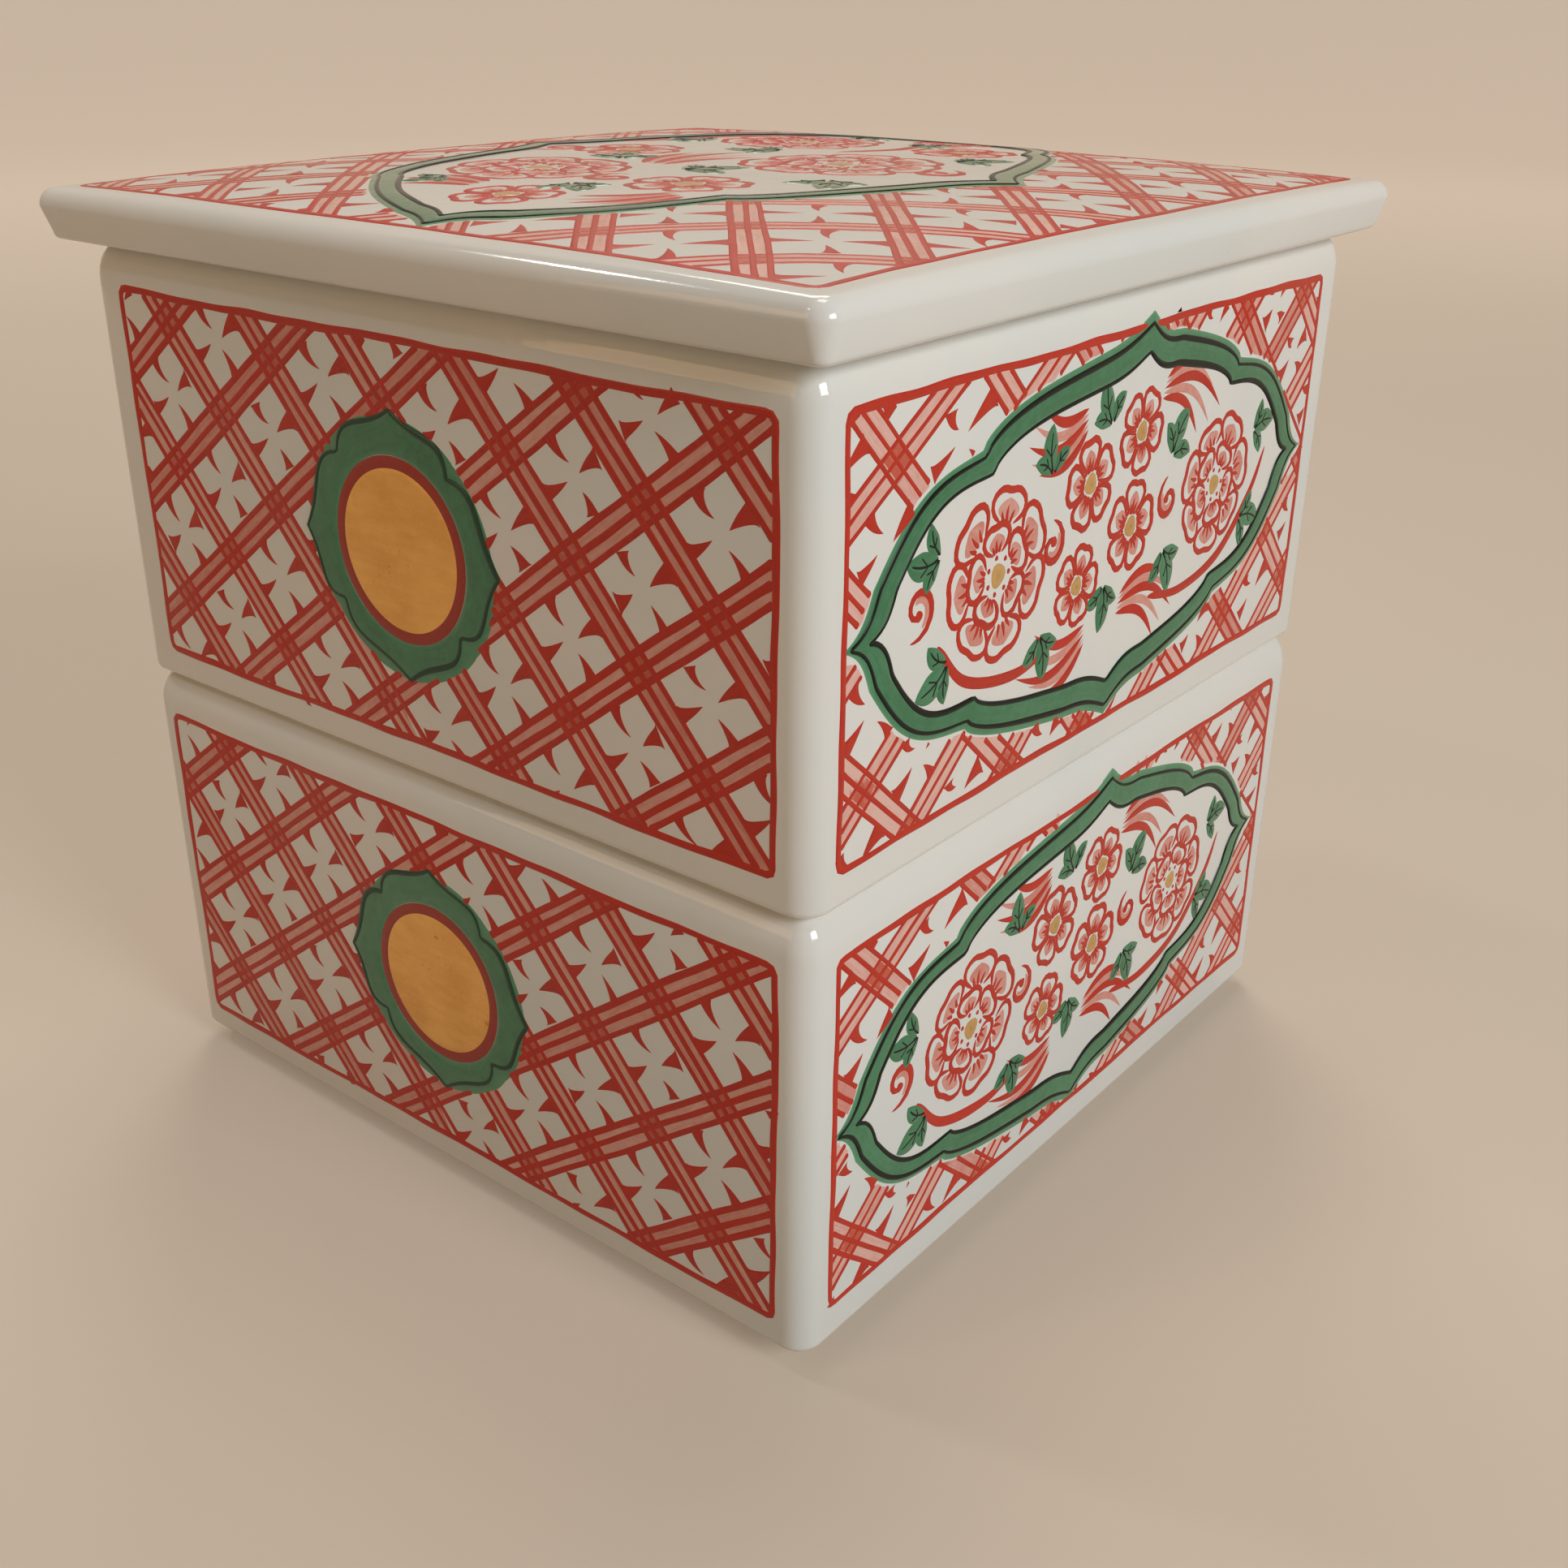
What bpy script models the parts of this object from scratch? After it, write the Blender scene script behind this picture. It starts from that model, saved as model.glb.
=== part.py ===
"""Two-tier square porcelain food box: two stacking boxes and a lid.

Lengths are metres and +Z is up. The origin is on the ground at the middle of the lower box.
The -Y and +Y faces are the front and back, and the -X and +X faces are the sides.
"""

import math

import bmesh
import bpy
from mathutils import Vector

# Tiers: both boxes share one shape.
BOX_SIDE = 0.105  # outside width and depth of a tier
WALL_HEIGHT = 0.0513  # from a tier's bottom edge to the top of its rim
WALL = 0.0045  # wall thickness
FLOOR = 0.0045  # floor thickness, above the bottom edge
OUTER_CORNER = 0.0030  # radius of the upright outer corners
INNER_CORNER = 0.0050  # radius of the upright inner corners
RIM_SHOULDER_WIDTH = 0.0028  # the rim's broad outer rounding, measured inwards from the wall
RIM_SHOULDER_HEIGHT = 0.0042  # and downwards from the top of the rim
RIM_INNER_ROUND = 0.0009  # rounding of the rim's inner edge
BOTTOM_ROUND = 0.0010  # rounding of a tier's bottom edge
FLOOR_FILLET = 0.0030  # hollow curve where the wall meets the floor

# Foot ring under each tier. It stands on the ground, or drops inside the rim below.
FOOT_HEIGHT = 0.0025
FOOT_WIDTH = 0.0036
FOOT_INNER_CORNER = 0.0030
FOOT_EDGE_ROUND = 0.0006
FOOT_CLEARANCE = 0.0008  # play between the foot and the inside of the rim below

# Lid: a slab that overhangs the tier, and a flange that drops inside its rim.
LID_OVERHANG = 0.0036
LID_THICKNESS = 0.0055  # at the edge
LID_CROWN = 0.0025  # how far the slab's middle swells above its edges
LID_CROWN_POWER = 4  # an even power: a higher one swells nearer the edge and flatter in the middle
LID_CORNER = 0.0024
LID_TOP_ROUND = 0.0019  # rounding of the lid's top edge
LID_BOTTOM_ROUND = 0.0008  # rounding of the lid's lower edge
LID_SIDE_LEAN = 0.0010  # how far the side draws in on its way down
FLANGE_HEIGHT = 0.0034
FLANGE_WIDTH = 0.0032
FLANGE_INNER_CORNER = 0.0030
FLANGE_EDGE_ROUND = 0.0007
FLANGE_CLEARANCE = 0.0012  # play between the flange and the inside of the rim

# Resting surfaces stay this far apart.
SEAT_GAP = 0.0003

# Fineness of the curved surfaces.
CORNER_STEPS = 8
SHOULDER_STEPS = 8
EDGE_STEPS = 4
CROWN_STEPS = 10  # rings from the edge of the swollen slab to its middle
CROWN_SIDE_STEPS = 14  # pieces along each straight side of the lid
HOLD = 0.0004  # a ring or point this far past a curve keeps the flat beside it flat

QUARTER = math.pi / 2


class Outline:
    """A family of rounded squares, one inside another, with concentric corners."""

    def __init__(self, half, corner, side_steps=1):
        self.half = half
        self.corner = corner
        self.side_steps = side_steps

    def ring(self, inset, z):
        """Points round the rounded square that lies inset inside this outline, at height z."""
        corner = max(self.corner - inset, HOLD)
        return ring_points(self.half - inset, corner, z, self.side_steps)


def arc(outline, inset, z, radius, start, end, steps, rise=None):
    """Rings along a round edge whose centre is at inset and z, with angles from outwards to up.

    The edge is part of an ellipse if rise, its radius up and down, is given too.
    """
    rings = []
    for step in range(steps + 1):
        angle = start + (end - start) * step / steps
        height = z + (rise or radius) * math.sin(angle)
        rings.append(outline.ring(inset - radius * math.cos(angle), height))
    return rings


def ring_points(half, corner, z, side_steps):
    """Points round a rounded square, anticlockwise from above."""
    points = []
    centre = half - corner
    straight = centre - HOLD
    for quadrant in range(4):
        turn = quadrant * QUARTER
        middle = Vector((centre, centre, 0.0))
        local = [Vector((half, straight, 0.0))]
        for step in range(CORNER_STEPS + 1):
            angle = QUARTER * step / CORNER_STEPS
            local.append(middle + Vector((math.cos(angle), math.sin(angle), 0.0)) * corner)
        for step in range(side_steps):
            local.append(Vector((straight - 2 * straight * step / side_steps, half, 0.0)))
        for point in local:
            x = point.x * math.cos(turn) - point.y * math.sin(turn)
            y = point.x * math.sin(turn) + point.y * math.cos(turn)
            points.append((x, y, z))
    return points


def lofted_body(name, rings, height, material):
    """A closed solid through the rings, capped at both ends, standing at the given height.

    The rings run from the middle of the underside outwards, up the outside and in again,
    which turns every face outwards.
    """
    bm = bmesh.new()
    loops = []
    for ring in rings:
        loops.append([bm.verts.new(point) for point in ring])
    for lower, upper in zip(loops, loops[1:]):
        count = len(lower)
        for index in range(count):
            after = (index + 1) % count
            bm.faces.new((lower[index], lower[after], upper[after], upper[index]))
    bm.faces.new(list(reversed(loops[0])))
    bm.faces.new(loops[-1])
    mesh = bpy.data.meshes.new(name)
    bm.to_mesh(mesh)
    bm.free()
    mesh.shade_smooth()
    mesh.materials.append(material)
    body = bpy.data.objects.new(name, mesh)
    body.location = (0.0, 0.0, height)
    bpy.context.scene.collection.objects.link(body)
    return body


def swollen(ring, half, scale=1.0):
    """The ring shrunk by scale and lifted to the crown of a slab with this half width."""
    points = []
    for x, y, z in ring:
        along = 1 - (x * scale / half) ** LID_CROWN_POWER
        across = 1 - (y * scale / half) ** LID_CROWN_POWER
        points.append((x * scale, y * scale, z + LID_CROWN * along * across))
    return points


def hanging_ring(outer, inner, height, edge):
    """A foot or flange below z = 0, from its inner wall under its edge and up its outer wall."""
    rings = [inner.ring(0.0, 0.0)]
    rings += arc(inner, edge * -1, edge - height, edge, math.pi, QUARTER * 3, EDGE_STEPS)
    rings += arc(outer, edge, edge - height, edge, QUARTER * -1, 0.0, EDGE_STEPS)
    rings.append(outer.ring(0.0, 0.0))
    return rings


def tier_rings():
    """The section of a box, from the middle of its underside round to the middle of its floor."""
    outside = Outline(BOX_SIDE / 2, OUTER_CORNER)
    inside = Outline(BOX_SIDE / 2 - WALL, INNER_CORNER)
    foot_outside = Outline(inside.half - FOOT_CLEARANCE, INNER_CORNER - FOOT_CLEARANCE)
    foot_inside = Outline(foot_outside.half - FOOT_WIDTH, FOOT_INNER_CORNER)
    rings = hanging_ring(foot_outside, foot_inside, FOOT_HEIGHT, FOOT_EDGE_ROUND)
    rings += arc(outside, BOTTOM_ROUND, BOTTOM_ROUND, BOTTOM_ROUND, QUARTER * -1, 0.0, EDGE_STEPS)
    rings.append(outside.ring(0.0, BOTTOM_ROUND + HOLD))
    shoulder = WALL_HEIGHT - RIM_SHOULDER_HEIGHT
    width = RIM_SHOULDER_WIDTH
    rings.append(outside.ring(0.0, shoulder - HOLD))
    rings += arc(outside, width, shoulder, width, 0.0, QUARTER, SHOULDER_STEPS, RIM_SHOULDER_HEIGHT)
    lip = WALL_HEIGHT - RIM_INNER_ROUND
    rings += arc(inside, -RIM_INNER_ROUND, lip, RIM_INNER_ROUND, QUARTER, math.pi, EDGE_STEPS)
    rings.append(inside.ring(0.0, lip - HOLD))
    hollow = FLOOR + FLOOR_FILLET
    rings.append(inside.ring(0.0, hollow + HOLD))
    rings += arc(inside, FLOOR_FILLET, hollow, FLOOR_FILLET, 0.0, QUARTER * -1, SHOULDER_STEPS)
    rings.append(inside.ring(FLOOR_FILLET + HOLD, FLOOR))
    return rings


def lid_rings():
    """The section of the lid, from the middle of its underside round to the middle of its top."""
    inside_half = BOX_SIDE / 2 - WALL
    flange_corner = INNER_CORNER - FLANGE_CLEARANCE
    flange_outside = Outline(inside_half - FLANGE_CLEARANCE, flange_corner, CROWN_SIDE_STEPS)
    flange_inside_half = flange_outside.half - FLANGE_WIDTH
    flange_inside = Outline(flange_inside_half, FLANGE_INNER_CORNER, CROWN_SIDE_STEPS)
    top = Outline(BOX_SIDE / 2 + LID_OVERHANG, LID_CORNER, CROWN_SIDE_STEPS)
    ceiling = flange_inside.ring(0.0, 0.0)
    rings = []
    for step in range(1, CROWN_STEPS):
        rings.append(swollen(ceiling, flange_inside.half, step / CROWN_STEPS))
    rings += hanging_ring(flange_outside, flange_inside, FLANGE_HEIGHT, FLANGE_EDGE_ROUND)
    edge = LID_SIDE_LEAN + LID_BOTTOM_ROUND
    rings += arc(top, edge, LID_BOTTOM_ROUND, LID_BOTTOM_ROUND, QUARTER * -1, 0.0, EDGE_STEPS)
    bend = LID_THICKNESS - LID_TOP_ROUND
    top_edge = arc(top, LID_TOP_ROUND, bend, LID_TOP_ROUND, 0.0, QUARTER, SHOULDER_STEPS)
    top_edge.append(top.ring(LID_TOP_ROUND + HOLD, LID_THICKNESS))
    rings += [swollen(ring, top.half) for ring in top_edge]
    for step in range(1, CROWN_STEPS):
        rings.append(swollen(top_edge[-1], top.half, 1 - step / CROWN_STEPS))
    return rings


def porcelain():
    """Glazed white porcelain, a little warm."""
    material = bpy.data.materials.new("porcelain")
    material.use_nodes = True
    shader = material.node_tree.nodes["Principled BSDF"]
    shader.inputs["Base Color"].default_value = (0.80, 0.77, 0.71, 1.0)
    shader.inputs["Roughness"].default_value = 0.12
    shader.inputs["Metallic"].default_value = 0.0
    return material


def clear_scene():
    for old in list(bpy.data.objects):
        bpy.data.objects.remove(old, do_unlink=True)


def build():
    clear_scene()
    glaze = porcelain()
    tier_pitch = WALL_HEIGHT + SEAT_GAP
    lower_bottom = FOOT_HEIGHT
    upper_bottom = lower_bottom + tier_pitch
    lid_bottom = upper_bottom + tier_pitch
    lofted_body("lower_box", tier_rings(), lower_bottom, glaze)
    lofted_body("upper_box", tier_rings(), upper_bottom, glaze)
    lofted_body("lid", lid_rings(), lid_bottom, glaze)


build()
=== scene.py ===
"""The look of a square porcelain food box: clear glaze, red lattice, gold medallions, lobed panels.

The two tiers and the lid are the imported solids. All the painting on them is thin raised enamel,
laid out below in millimetres on each face, and placed in metres when its mesh is made.
"""

import math
import random

import bpy
import numpy as np
from mathutils import Matrix, Vector
from mathutils.bvhtree import BVHTree


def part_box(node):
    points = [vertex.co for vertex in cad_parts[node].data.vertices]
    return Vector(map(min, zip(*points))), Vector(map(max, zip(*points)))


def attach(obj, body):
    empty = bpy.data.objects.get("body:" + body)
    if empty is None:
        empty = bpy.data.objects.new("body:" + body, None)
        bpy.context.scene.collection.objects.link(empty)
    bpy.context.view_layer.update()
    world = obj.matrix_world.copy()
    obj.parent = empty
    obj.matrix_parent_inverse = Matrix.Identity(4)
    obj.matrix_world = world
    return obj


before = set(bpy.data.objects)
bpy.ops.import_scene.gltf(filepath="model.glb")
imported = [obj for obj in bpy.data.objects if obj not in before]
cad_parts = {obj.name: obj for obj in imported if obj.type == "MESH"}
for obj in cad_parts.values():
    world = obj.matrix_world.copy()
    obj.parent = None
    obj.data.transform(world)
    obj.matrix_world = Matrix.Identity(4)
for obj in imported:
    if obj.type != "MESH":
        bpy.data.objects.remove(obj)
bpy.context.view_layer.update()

MM = 0.001
FOOT_HEIGHT = 0.0025
BARE_HEIGHT = 0.0004  # how far up the foot and the flange are bare of glaze
GLAZE_EDGE = 0.00012  # how soft the glaze's lower edge is, and how far it wanders
GLAZE_RAGGED = 0.0009
BLUSH_FROM = 0.0001  # where the clay's blush over that edge is strongest, and where it ends
BLUSH_TO = 0.0007
FACET_GAP = 0.000002  # corners of a body's facets that lie closer are one
GLAZE_RELIEF = 0.00022  # how deep the bump of each surface is
GOLD_RELIEF = 0.00005
GREEN_RELIEF = 0.00006
ENAMEL_RELIEF = 0.00003
GLAZE_ROUGHNESS = (0.055, 0.13)  # from the clearest gloss to the haziest
GOLD_ROUGHNESS = (0.26, 0.40)
COAT_ROUGHNESS = 0.06

# The camera, at the place from which the box is seen: metres and degrees.
CAMERA_PLACE = (0.13888, -0.16438, 0.13421)
CAMERA_TURN = 38.66  # how far it looks round from +Y towards -X
CAMERA_DIP = 24.84  # how far it looks down
CAMERA_ROLL = 0.42
CAMERA_LENS = 40.63
CAMERA_SENSOR = 36.0

# Colours as the finish is meant to look in plain light, linear.
WHITE_GLAZE = (0.80, 0.77, 0.71)
WHITE_GLAZE_COOL = (0.74, 0.745, 0.70)
BARE_CLAY = (0.66, 0.60, 0.50)
BARE_CLAY_DARK = (0.55, 0.49, 0.41)
CLAY_BLUSH = (0.62, 0.36, 0.18)
IRON_SPECK = (0.25, 0.17, 0.10)
RED_DEEP = (0.38, 0.013, 0.005)
RED_BRIGHT = (0.60, 0.036, 0.014)
WASH_PALE = (0.80, 0.48, 0.40)
WASH_STRONG = (0.58, 0.10, 0.055)
RING_RED = (0.34, 0.045, 0.018)
GREEN_THICK = (0.022, 0.165, 0.064)
GREEN_THIN = (0.12, 0.37, 0.19)
LINE_BLACK = (0.003, 0.006, 0.004)
LINE_SOFT = (0.010, 0.022, 0.012)
LINE_GREEN = (0.008, 0.040, 0.016)
LINE_GREEN_SOFT = (0.020, 0.085, 0.038)
GOLD_LIGHT = (0.86, 0.49, 0.15)
GOLD_DEEP = (0.70, 0.35, 0.09)
OCHRE_PALE = (0.66, 0.38, 0.12)
OCHRE_DEEP = (0.42, 0.19, 0.04)
FLOOR_PALE = (0.50, 0.43, 0.35)
FLOOR_PALE_DARK = (0.46, 0.39, 0.31)
BACKDROP_GLOW = (0.92, 0.74, 0.58)
FLOOR_GLOW_AMOUNT = 0.20  # where 1 is as bright as white
BACKDROP_GLOW_AMOUNT = 0.46
ROOM_LIGHT = (0.95, 0.85, 0.72)
ROOM_LIGHT_AMOUNT = 0.11

# The studio: metres and watts. Each lamp has a place, a size, a power and a colour.
LAMPS = {
    "key_right": ((0.95, -0.12, 0.50), (0.45, 0.35), 6.9, (0.90, 0.955, 1.0)),
    "fill_left": ((-0.50, -0.95, 0.45), (0.6, 0.4), 1.35, (1.0, 0.63, 0.32)),
    "top_soft": ((-0.1, 0.2, 1.1), (0.35, 0.35), 2.4, (1.0, 0.93, 0.84)),
    "back_soft": ((-0.6, 0.7, 1.0), (0.5, 0.4), 3.2, (1.0, 0.93, 0.84)),
    "window_left": ((-0.67, -0.21, 0.81), (0.10, 0.07), 0.9, (1.0, 1.0, 1.0)),
    "rim_strip": ((-0.25, -0.55, 0.75), (0.10, 0.03), 0.3, (1.0, 1.0, 1.0)),
}
LAMP_TARGET = (0.0, 0.0, 0.06)
FLOOR_FLAT = 0.8
FLOOR_RADIUS = 1.3  # where the floor starts to turn up
COVE_RADIUS = 0.5
COVE_STEPS = 12
BACKDROP_HEIGHT = 1.6
BACKDROP_SIDES = 96

# How far each enamel stands out of the glaze, in millimetres.
SINK = 0.010  # every stroke's edge and underside lie this deep in the glaze
WASH_RISE = 0.006
WASH_OVER_RISE = 0.009
LINE_RISE = 0.034
LINE_OVER_RISE = 0.046
FRAME_RISE = 0.055
THORN_RISE = 0.040
OUTLINE_RISE = 0.165
GOLD_RISE = 0.045
PETAL_RISE = 0.012
FLOWER_RISE = 0.050
LEAF_RISE = 0.10
VEIN_RISE = 0.135
HEART_RISE = 0.085

# Brush strokes, in millimetres or as shares.
ACROSS = np.array((-1.0, -0.8, -0.4, 0.0, 0.4, 0.8, 1.0))  # from a stroke's left edge to its right
DOME = np.array((0.0, 0.62, 0.92, 1.0, 0.92, 0.62, 0.0))  # how high a line is there
FLAT = np.array((0.0, 1.0, 1.0, 1.0, 1.0, 1.0, 0.0))  # how high a wash is there
HAND_WAVES = ((47.0, 0.6), (19.0, 0.3), (7.0, 0.14))  # wavelengths of an unsteady hand, and shares
BRUSH_LOAD = (0.2, 0.8)  # the least and most colour that a brush holds, where 1 is dripping
LOAD_WAVER = 0.3
HAND_STRETCH = (0.8, 1.25)  # the least and most that a wavelength is stretched
BRUSH_END = np.array((0.0, 0.06, 0.18, 0.38, 0.7, 1.0))  # where a stroke's end has its points
LONGEST_END = 0.45  # the share of a stroke that one end may take up
BRUSH_STEP = 0.7
BRUSH_WAVER = 0.10
PRESS_REACH = 0.5  # how far in from its ends a pressed brush spreads
FINEST = 0.03  # no stroke is drawn thinner
SHARP_ANGLE = 60  # degrees from which an enamel's edge is shaded sharp
DAB_POINTS = 14
DAB_FULLNESS = 0.75  # less is fuller

# Each face has its own hand: seeds for its small differences.
FIRST_SEED = 11
TIER_SEEDS = 10
LID_SEED = 41

# The painted field of each face: left, low, right and high edge of its red frame.
# On a side, v starts PAINT_START above the wall's bottom edge.
PAINT_START = 1.1
MEDALLION_FIELDS = {"lower_box": (-48.2, 2.6, 48.4, 44.9), "upper_box": (-46.4, 2.8, 48.2, 45.6)}
LOBED_FIELDS = {"lower_box": (-48.0, 3.6, 47.2, 45.0), "upper_box": (-48.2, 3.1, 46.4, 45.6)}
LID_FIELD = (-51.6, -52.4, 52.2, 51.6)
FRAME_WIDTH = 0.85
FRAME_CORNER = 0.8
FRAME_STEP = 0.7

# The lattice: bands of three lines with a thin wash between them.
MEDALLION_FACE_LINE = 0.80
LOBED_FACE_LINE = 0.56
LID_LINE = 0.70
LINE_SPACING = 1.50
WASH_WIDTH = 3.0
MEDALLION_FACE_WASH = 0.85  # how strong the wash is, where 1 is a full coat
LOBED_FACE_WASH = 0.26
LID_WASH = 0.30
STRONG_WASH = 0.95
STRONG_WASH_SHARE = 0.14  # the share of bands that got the strong wash
CROSSED_WASH = 1.9  # where two bands cross
WASH_LOAD = (0.7, 1.3)  # the least and most that a band has of its face's wash
WASH_WAVER = 0.05
LINE_LOAD = (0.88, 1.12)  # the least and most that a line has of its face's line width
LINE_WAVER = 0.11
LINE_DRIFT = 0.07  # how far a line is ruled from where it belongs
LINE_FLARE = 0.35  # how much wider its ends are
STOP_DRIFT = 0.3  # how far from the gap's edge a line stops
RULE_REACH = 6.0  # how far bands are ruled past their two ends, before they are cut
RULE_STEP = 0.2
# Bands as (u at the upper end, u at the lower end), with the heights v of those two ends.
SIDE_ENDS = (45.4, 2.6)
LID_ENDS = (52.3, -52.3)
FRONT_RISING = [(47.0 + 20.46 * k, -10.9 + 20.46 * k) for k in range(-6, 4)]
FRONT_FALLING = [(8.2 + 16.12 * k, 46.9 + 16.12 * k) for k in range(-7, 5)]
SIDE_RISING = [(-50.0, -126.0), (-33.0, -101.0), (-14.3, -75.2), (0.5, -53.8), (14.0, -37.6)]
SIDE_RISING += [(28.0, -21.5), (43.0, -6.0), (57.0, 7.5), (72.0, 22.8), (88.0, 38.0), (104.0, 53.0)]
SIDE_FALLING = [(-103.0, -56.0), (-83.8, -36.5), (-64.8, -17.7), (-46.2, -3.6), (-25.5, 18.8)]
SIDE_FALLING += [(-9.5, 34.0), (9.0, 51.0), (24.6, 67.0), (40.4, 83.0), (57.0, 100.0)]
LID_RISING = [(134.5 + 20.1 * k, 16.5 + 20.1 * k) for k in range(-11, 4)]
LID_FALLING = [(-46.8 + 18.4 * k, 45.8 + 18.4 * k) for k in range(-7, 8)]

# Thorns on the four sides of a lattice cell, from its upper left side clockwise:
# width of the base, how far the tip stops before the cell's middle, and sideways hook.
THORNS = ((1.55, 1.25, 0.36), (2.05, 0.95, 0.12), (1.55, 1.40, 0.16), (1.75, 1.20, 0.10))
THORN_SHORTEST = 1.2
THORN_FREE_SHARE = 0.3  # the share of thorns that stand free of their line
THORN_FREE_GAP = 0.55
THORN_CLEAR = 0.1
THORN_DRIFT = 0.5  # how far a thorn's root or tip lies to the left of its place
THORN_STOP_SHARE = (0.85, 1.2)  # the least and most that a thorn has of its stop, hook and base
THORN_HOOK_SHARE = (0.7, 1.3)
THORN_BASE_SHARE = (0.85, 1.15)
THORN_POINTS = 12

# Medallion: cusps and notches of its dark outline, from the left clockwise, as (radius, degrees).
MEDALLION_AT = (-1.4, 24.0)
MEDALLION_LINE = ((15.0, 180), (12.5, 134), (14.6, 90), (12.0, 48))
MEDALLION_LINE += ((14.7, 0), (11.2, -41), (14.2, -90), (11.9, -144))
MEDALLION_SWELL = 1.65
MEDALLION_LINE_WIDTH = 0.62
BLEED_RADIUS = 14.2  # how far the green runs out
ROSETTE_HEIGHTS = np.array((-SINK, 0.03, 0.085, 0.11, 0.13, 0.12, 0.07, -SINK))  # from outside in
ROSETTE_COAT = np.array((0.35, 0.6, 0.95, 1.0, 1.0, 0.95, 0.8, 0.5))
RING_RADIUS = 10.05
RING_RADII = (RING_RADIUS, RING_RADIUS - 0.25, 9.3, 8.7, 8.4)
RING_HEIGHTS = (-SINK, 0.03, 0.035, 0.03, -SINK)
GOLD_RADIUS = 8.8
GOLD_RADII = (GOLD_RADIUS, GOLD_RADIUS - 0.15, 8.2, 5.5, 2.7, 0.05)
GOLD_HEIGHTS = GOLD_RISE * np.array((-SINK / GOLD_RISE, 0.8, 1.0, 1.1, 1.1, 1.1))
ROUND_SIDES = 96
MEDALLION_GAP = -0.5  # where the lattice stops, outside the bleed

# Lobed outlines: cusps and notches by turns.
LOBED_WAYS = 8  # from a cusp to a notch, or from a notch to a cusp
CUSP_STRETCH = 1.3  # how much further the cusps move than the line, when it is moved outwards
NOTCH_STRETCH = 1.05
MEDALLION_STEPS = 24
PANEL_STEPS = 44
OUTLINE_LOAD = (0.8, 1.3)  # the least and most that a stroke has of its line's width
OUTLINE_SWELL = (0.2, 0.6)
OUTLINE_END = 0.8

# Lobed panels, clockwise: end cusp, notch, side cusp, notch, end cusp and so on.
SIDE_LOBES = [(-47.4, 24.5), (-26.8, 37.8), (4.1, 45.8), (25.4, 38.3)]
SIDE_LOBES += [(44.6, 25.4), (24.7, 11.9), (0.4, 4.5), (-27.6, 11.6)]
SIDE_SWELLS = ((3.2, 3.0, 3.0, 3.5), (1.5, 1.0, 1.0, 0.9), (0.3, 0.8, 0.7, 0.6))
LID_LOBES = [(4.6, -51.2), (-20.0, -36.0), (-36.0, 2.0), (-20.9, 36.2)]
LID_LOBES += [(2.0, 50.4), (21.0, 32.0), (35.3, 4.0), (22.0, -27.6)]
LID_SWELLS = ((1.6, 3.0, 3.0, 3.2), (1.6, 1.4, 1.4, 1.6), (0.5, 0.6, 0.6, 0.5))
BAND_WIDTH = 2.2
OUTER_LINE_WIDTH = 0.54
INNER_LINE_WIDTH = 0.60
PANEL_GAP = 1.1  # where the lattice stops, outside the dark line
GREEN_RUN = 0.95  # how far the green runs out past the outer dark line
BAND_SHARES = np.array((0.0, 0.25, 0.5, 0.75, 1.0))  # across the green band, from outside in
BAND_HEIGHTS = np.array((-SINK, 0.03, 0.09, 0.125, 0.14, 0.125, 0.09, 0.03, -SINK))
BAND_COAT = np.array((0.2, 0.6, 0.95, 1.0, 1.0, 1.0, 0.9, 0.4, 0.1))

# Flowers. A petal's edge as shares of its half width and its length, from root to root.
PETAL_EDGE = ((-0.5, 0.0), (-0.98, 0.45), (-0.86, 0.84), (-0.42, 1.0), (0.0, 0.93), (0.42, 1.0))
PETAL_EDGE += ((0.86, 0.84), (0.98, 0.45), (0.5, 0.0))
PETAL_VEINS = ((-0.4, 0.42), (0.05, 0.55), (0.45, 0.38))  # how far they lean, and how long they are
# A peony's rows: count, inner and outer radius as shares, half a petal's angle and the row's turn.
PEONY_ROWS = ((7, 0.60, 1.0, 25, 0), (5, 0.27, 0.60, 33, 20))
PEONY_LEAN = (-3, 3)
PEONY_REACH = (0.94, 1.05)
PEONY_DOTS = 7
BLOSSOM_PETALS = 5
LEAF_LOBES = ((0, 1.0, 0.10), (58, 0.72, -0.14), (-58, 0.72, 0.14))  # turn, share of length and bend
BLADES = 5

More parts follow.
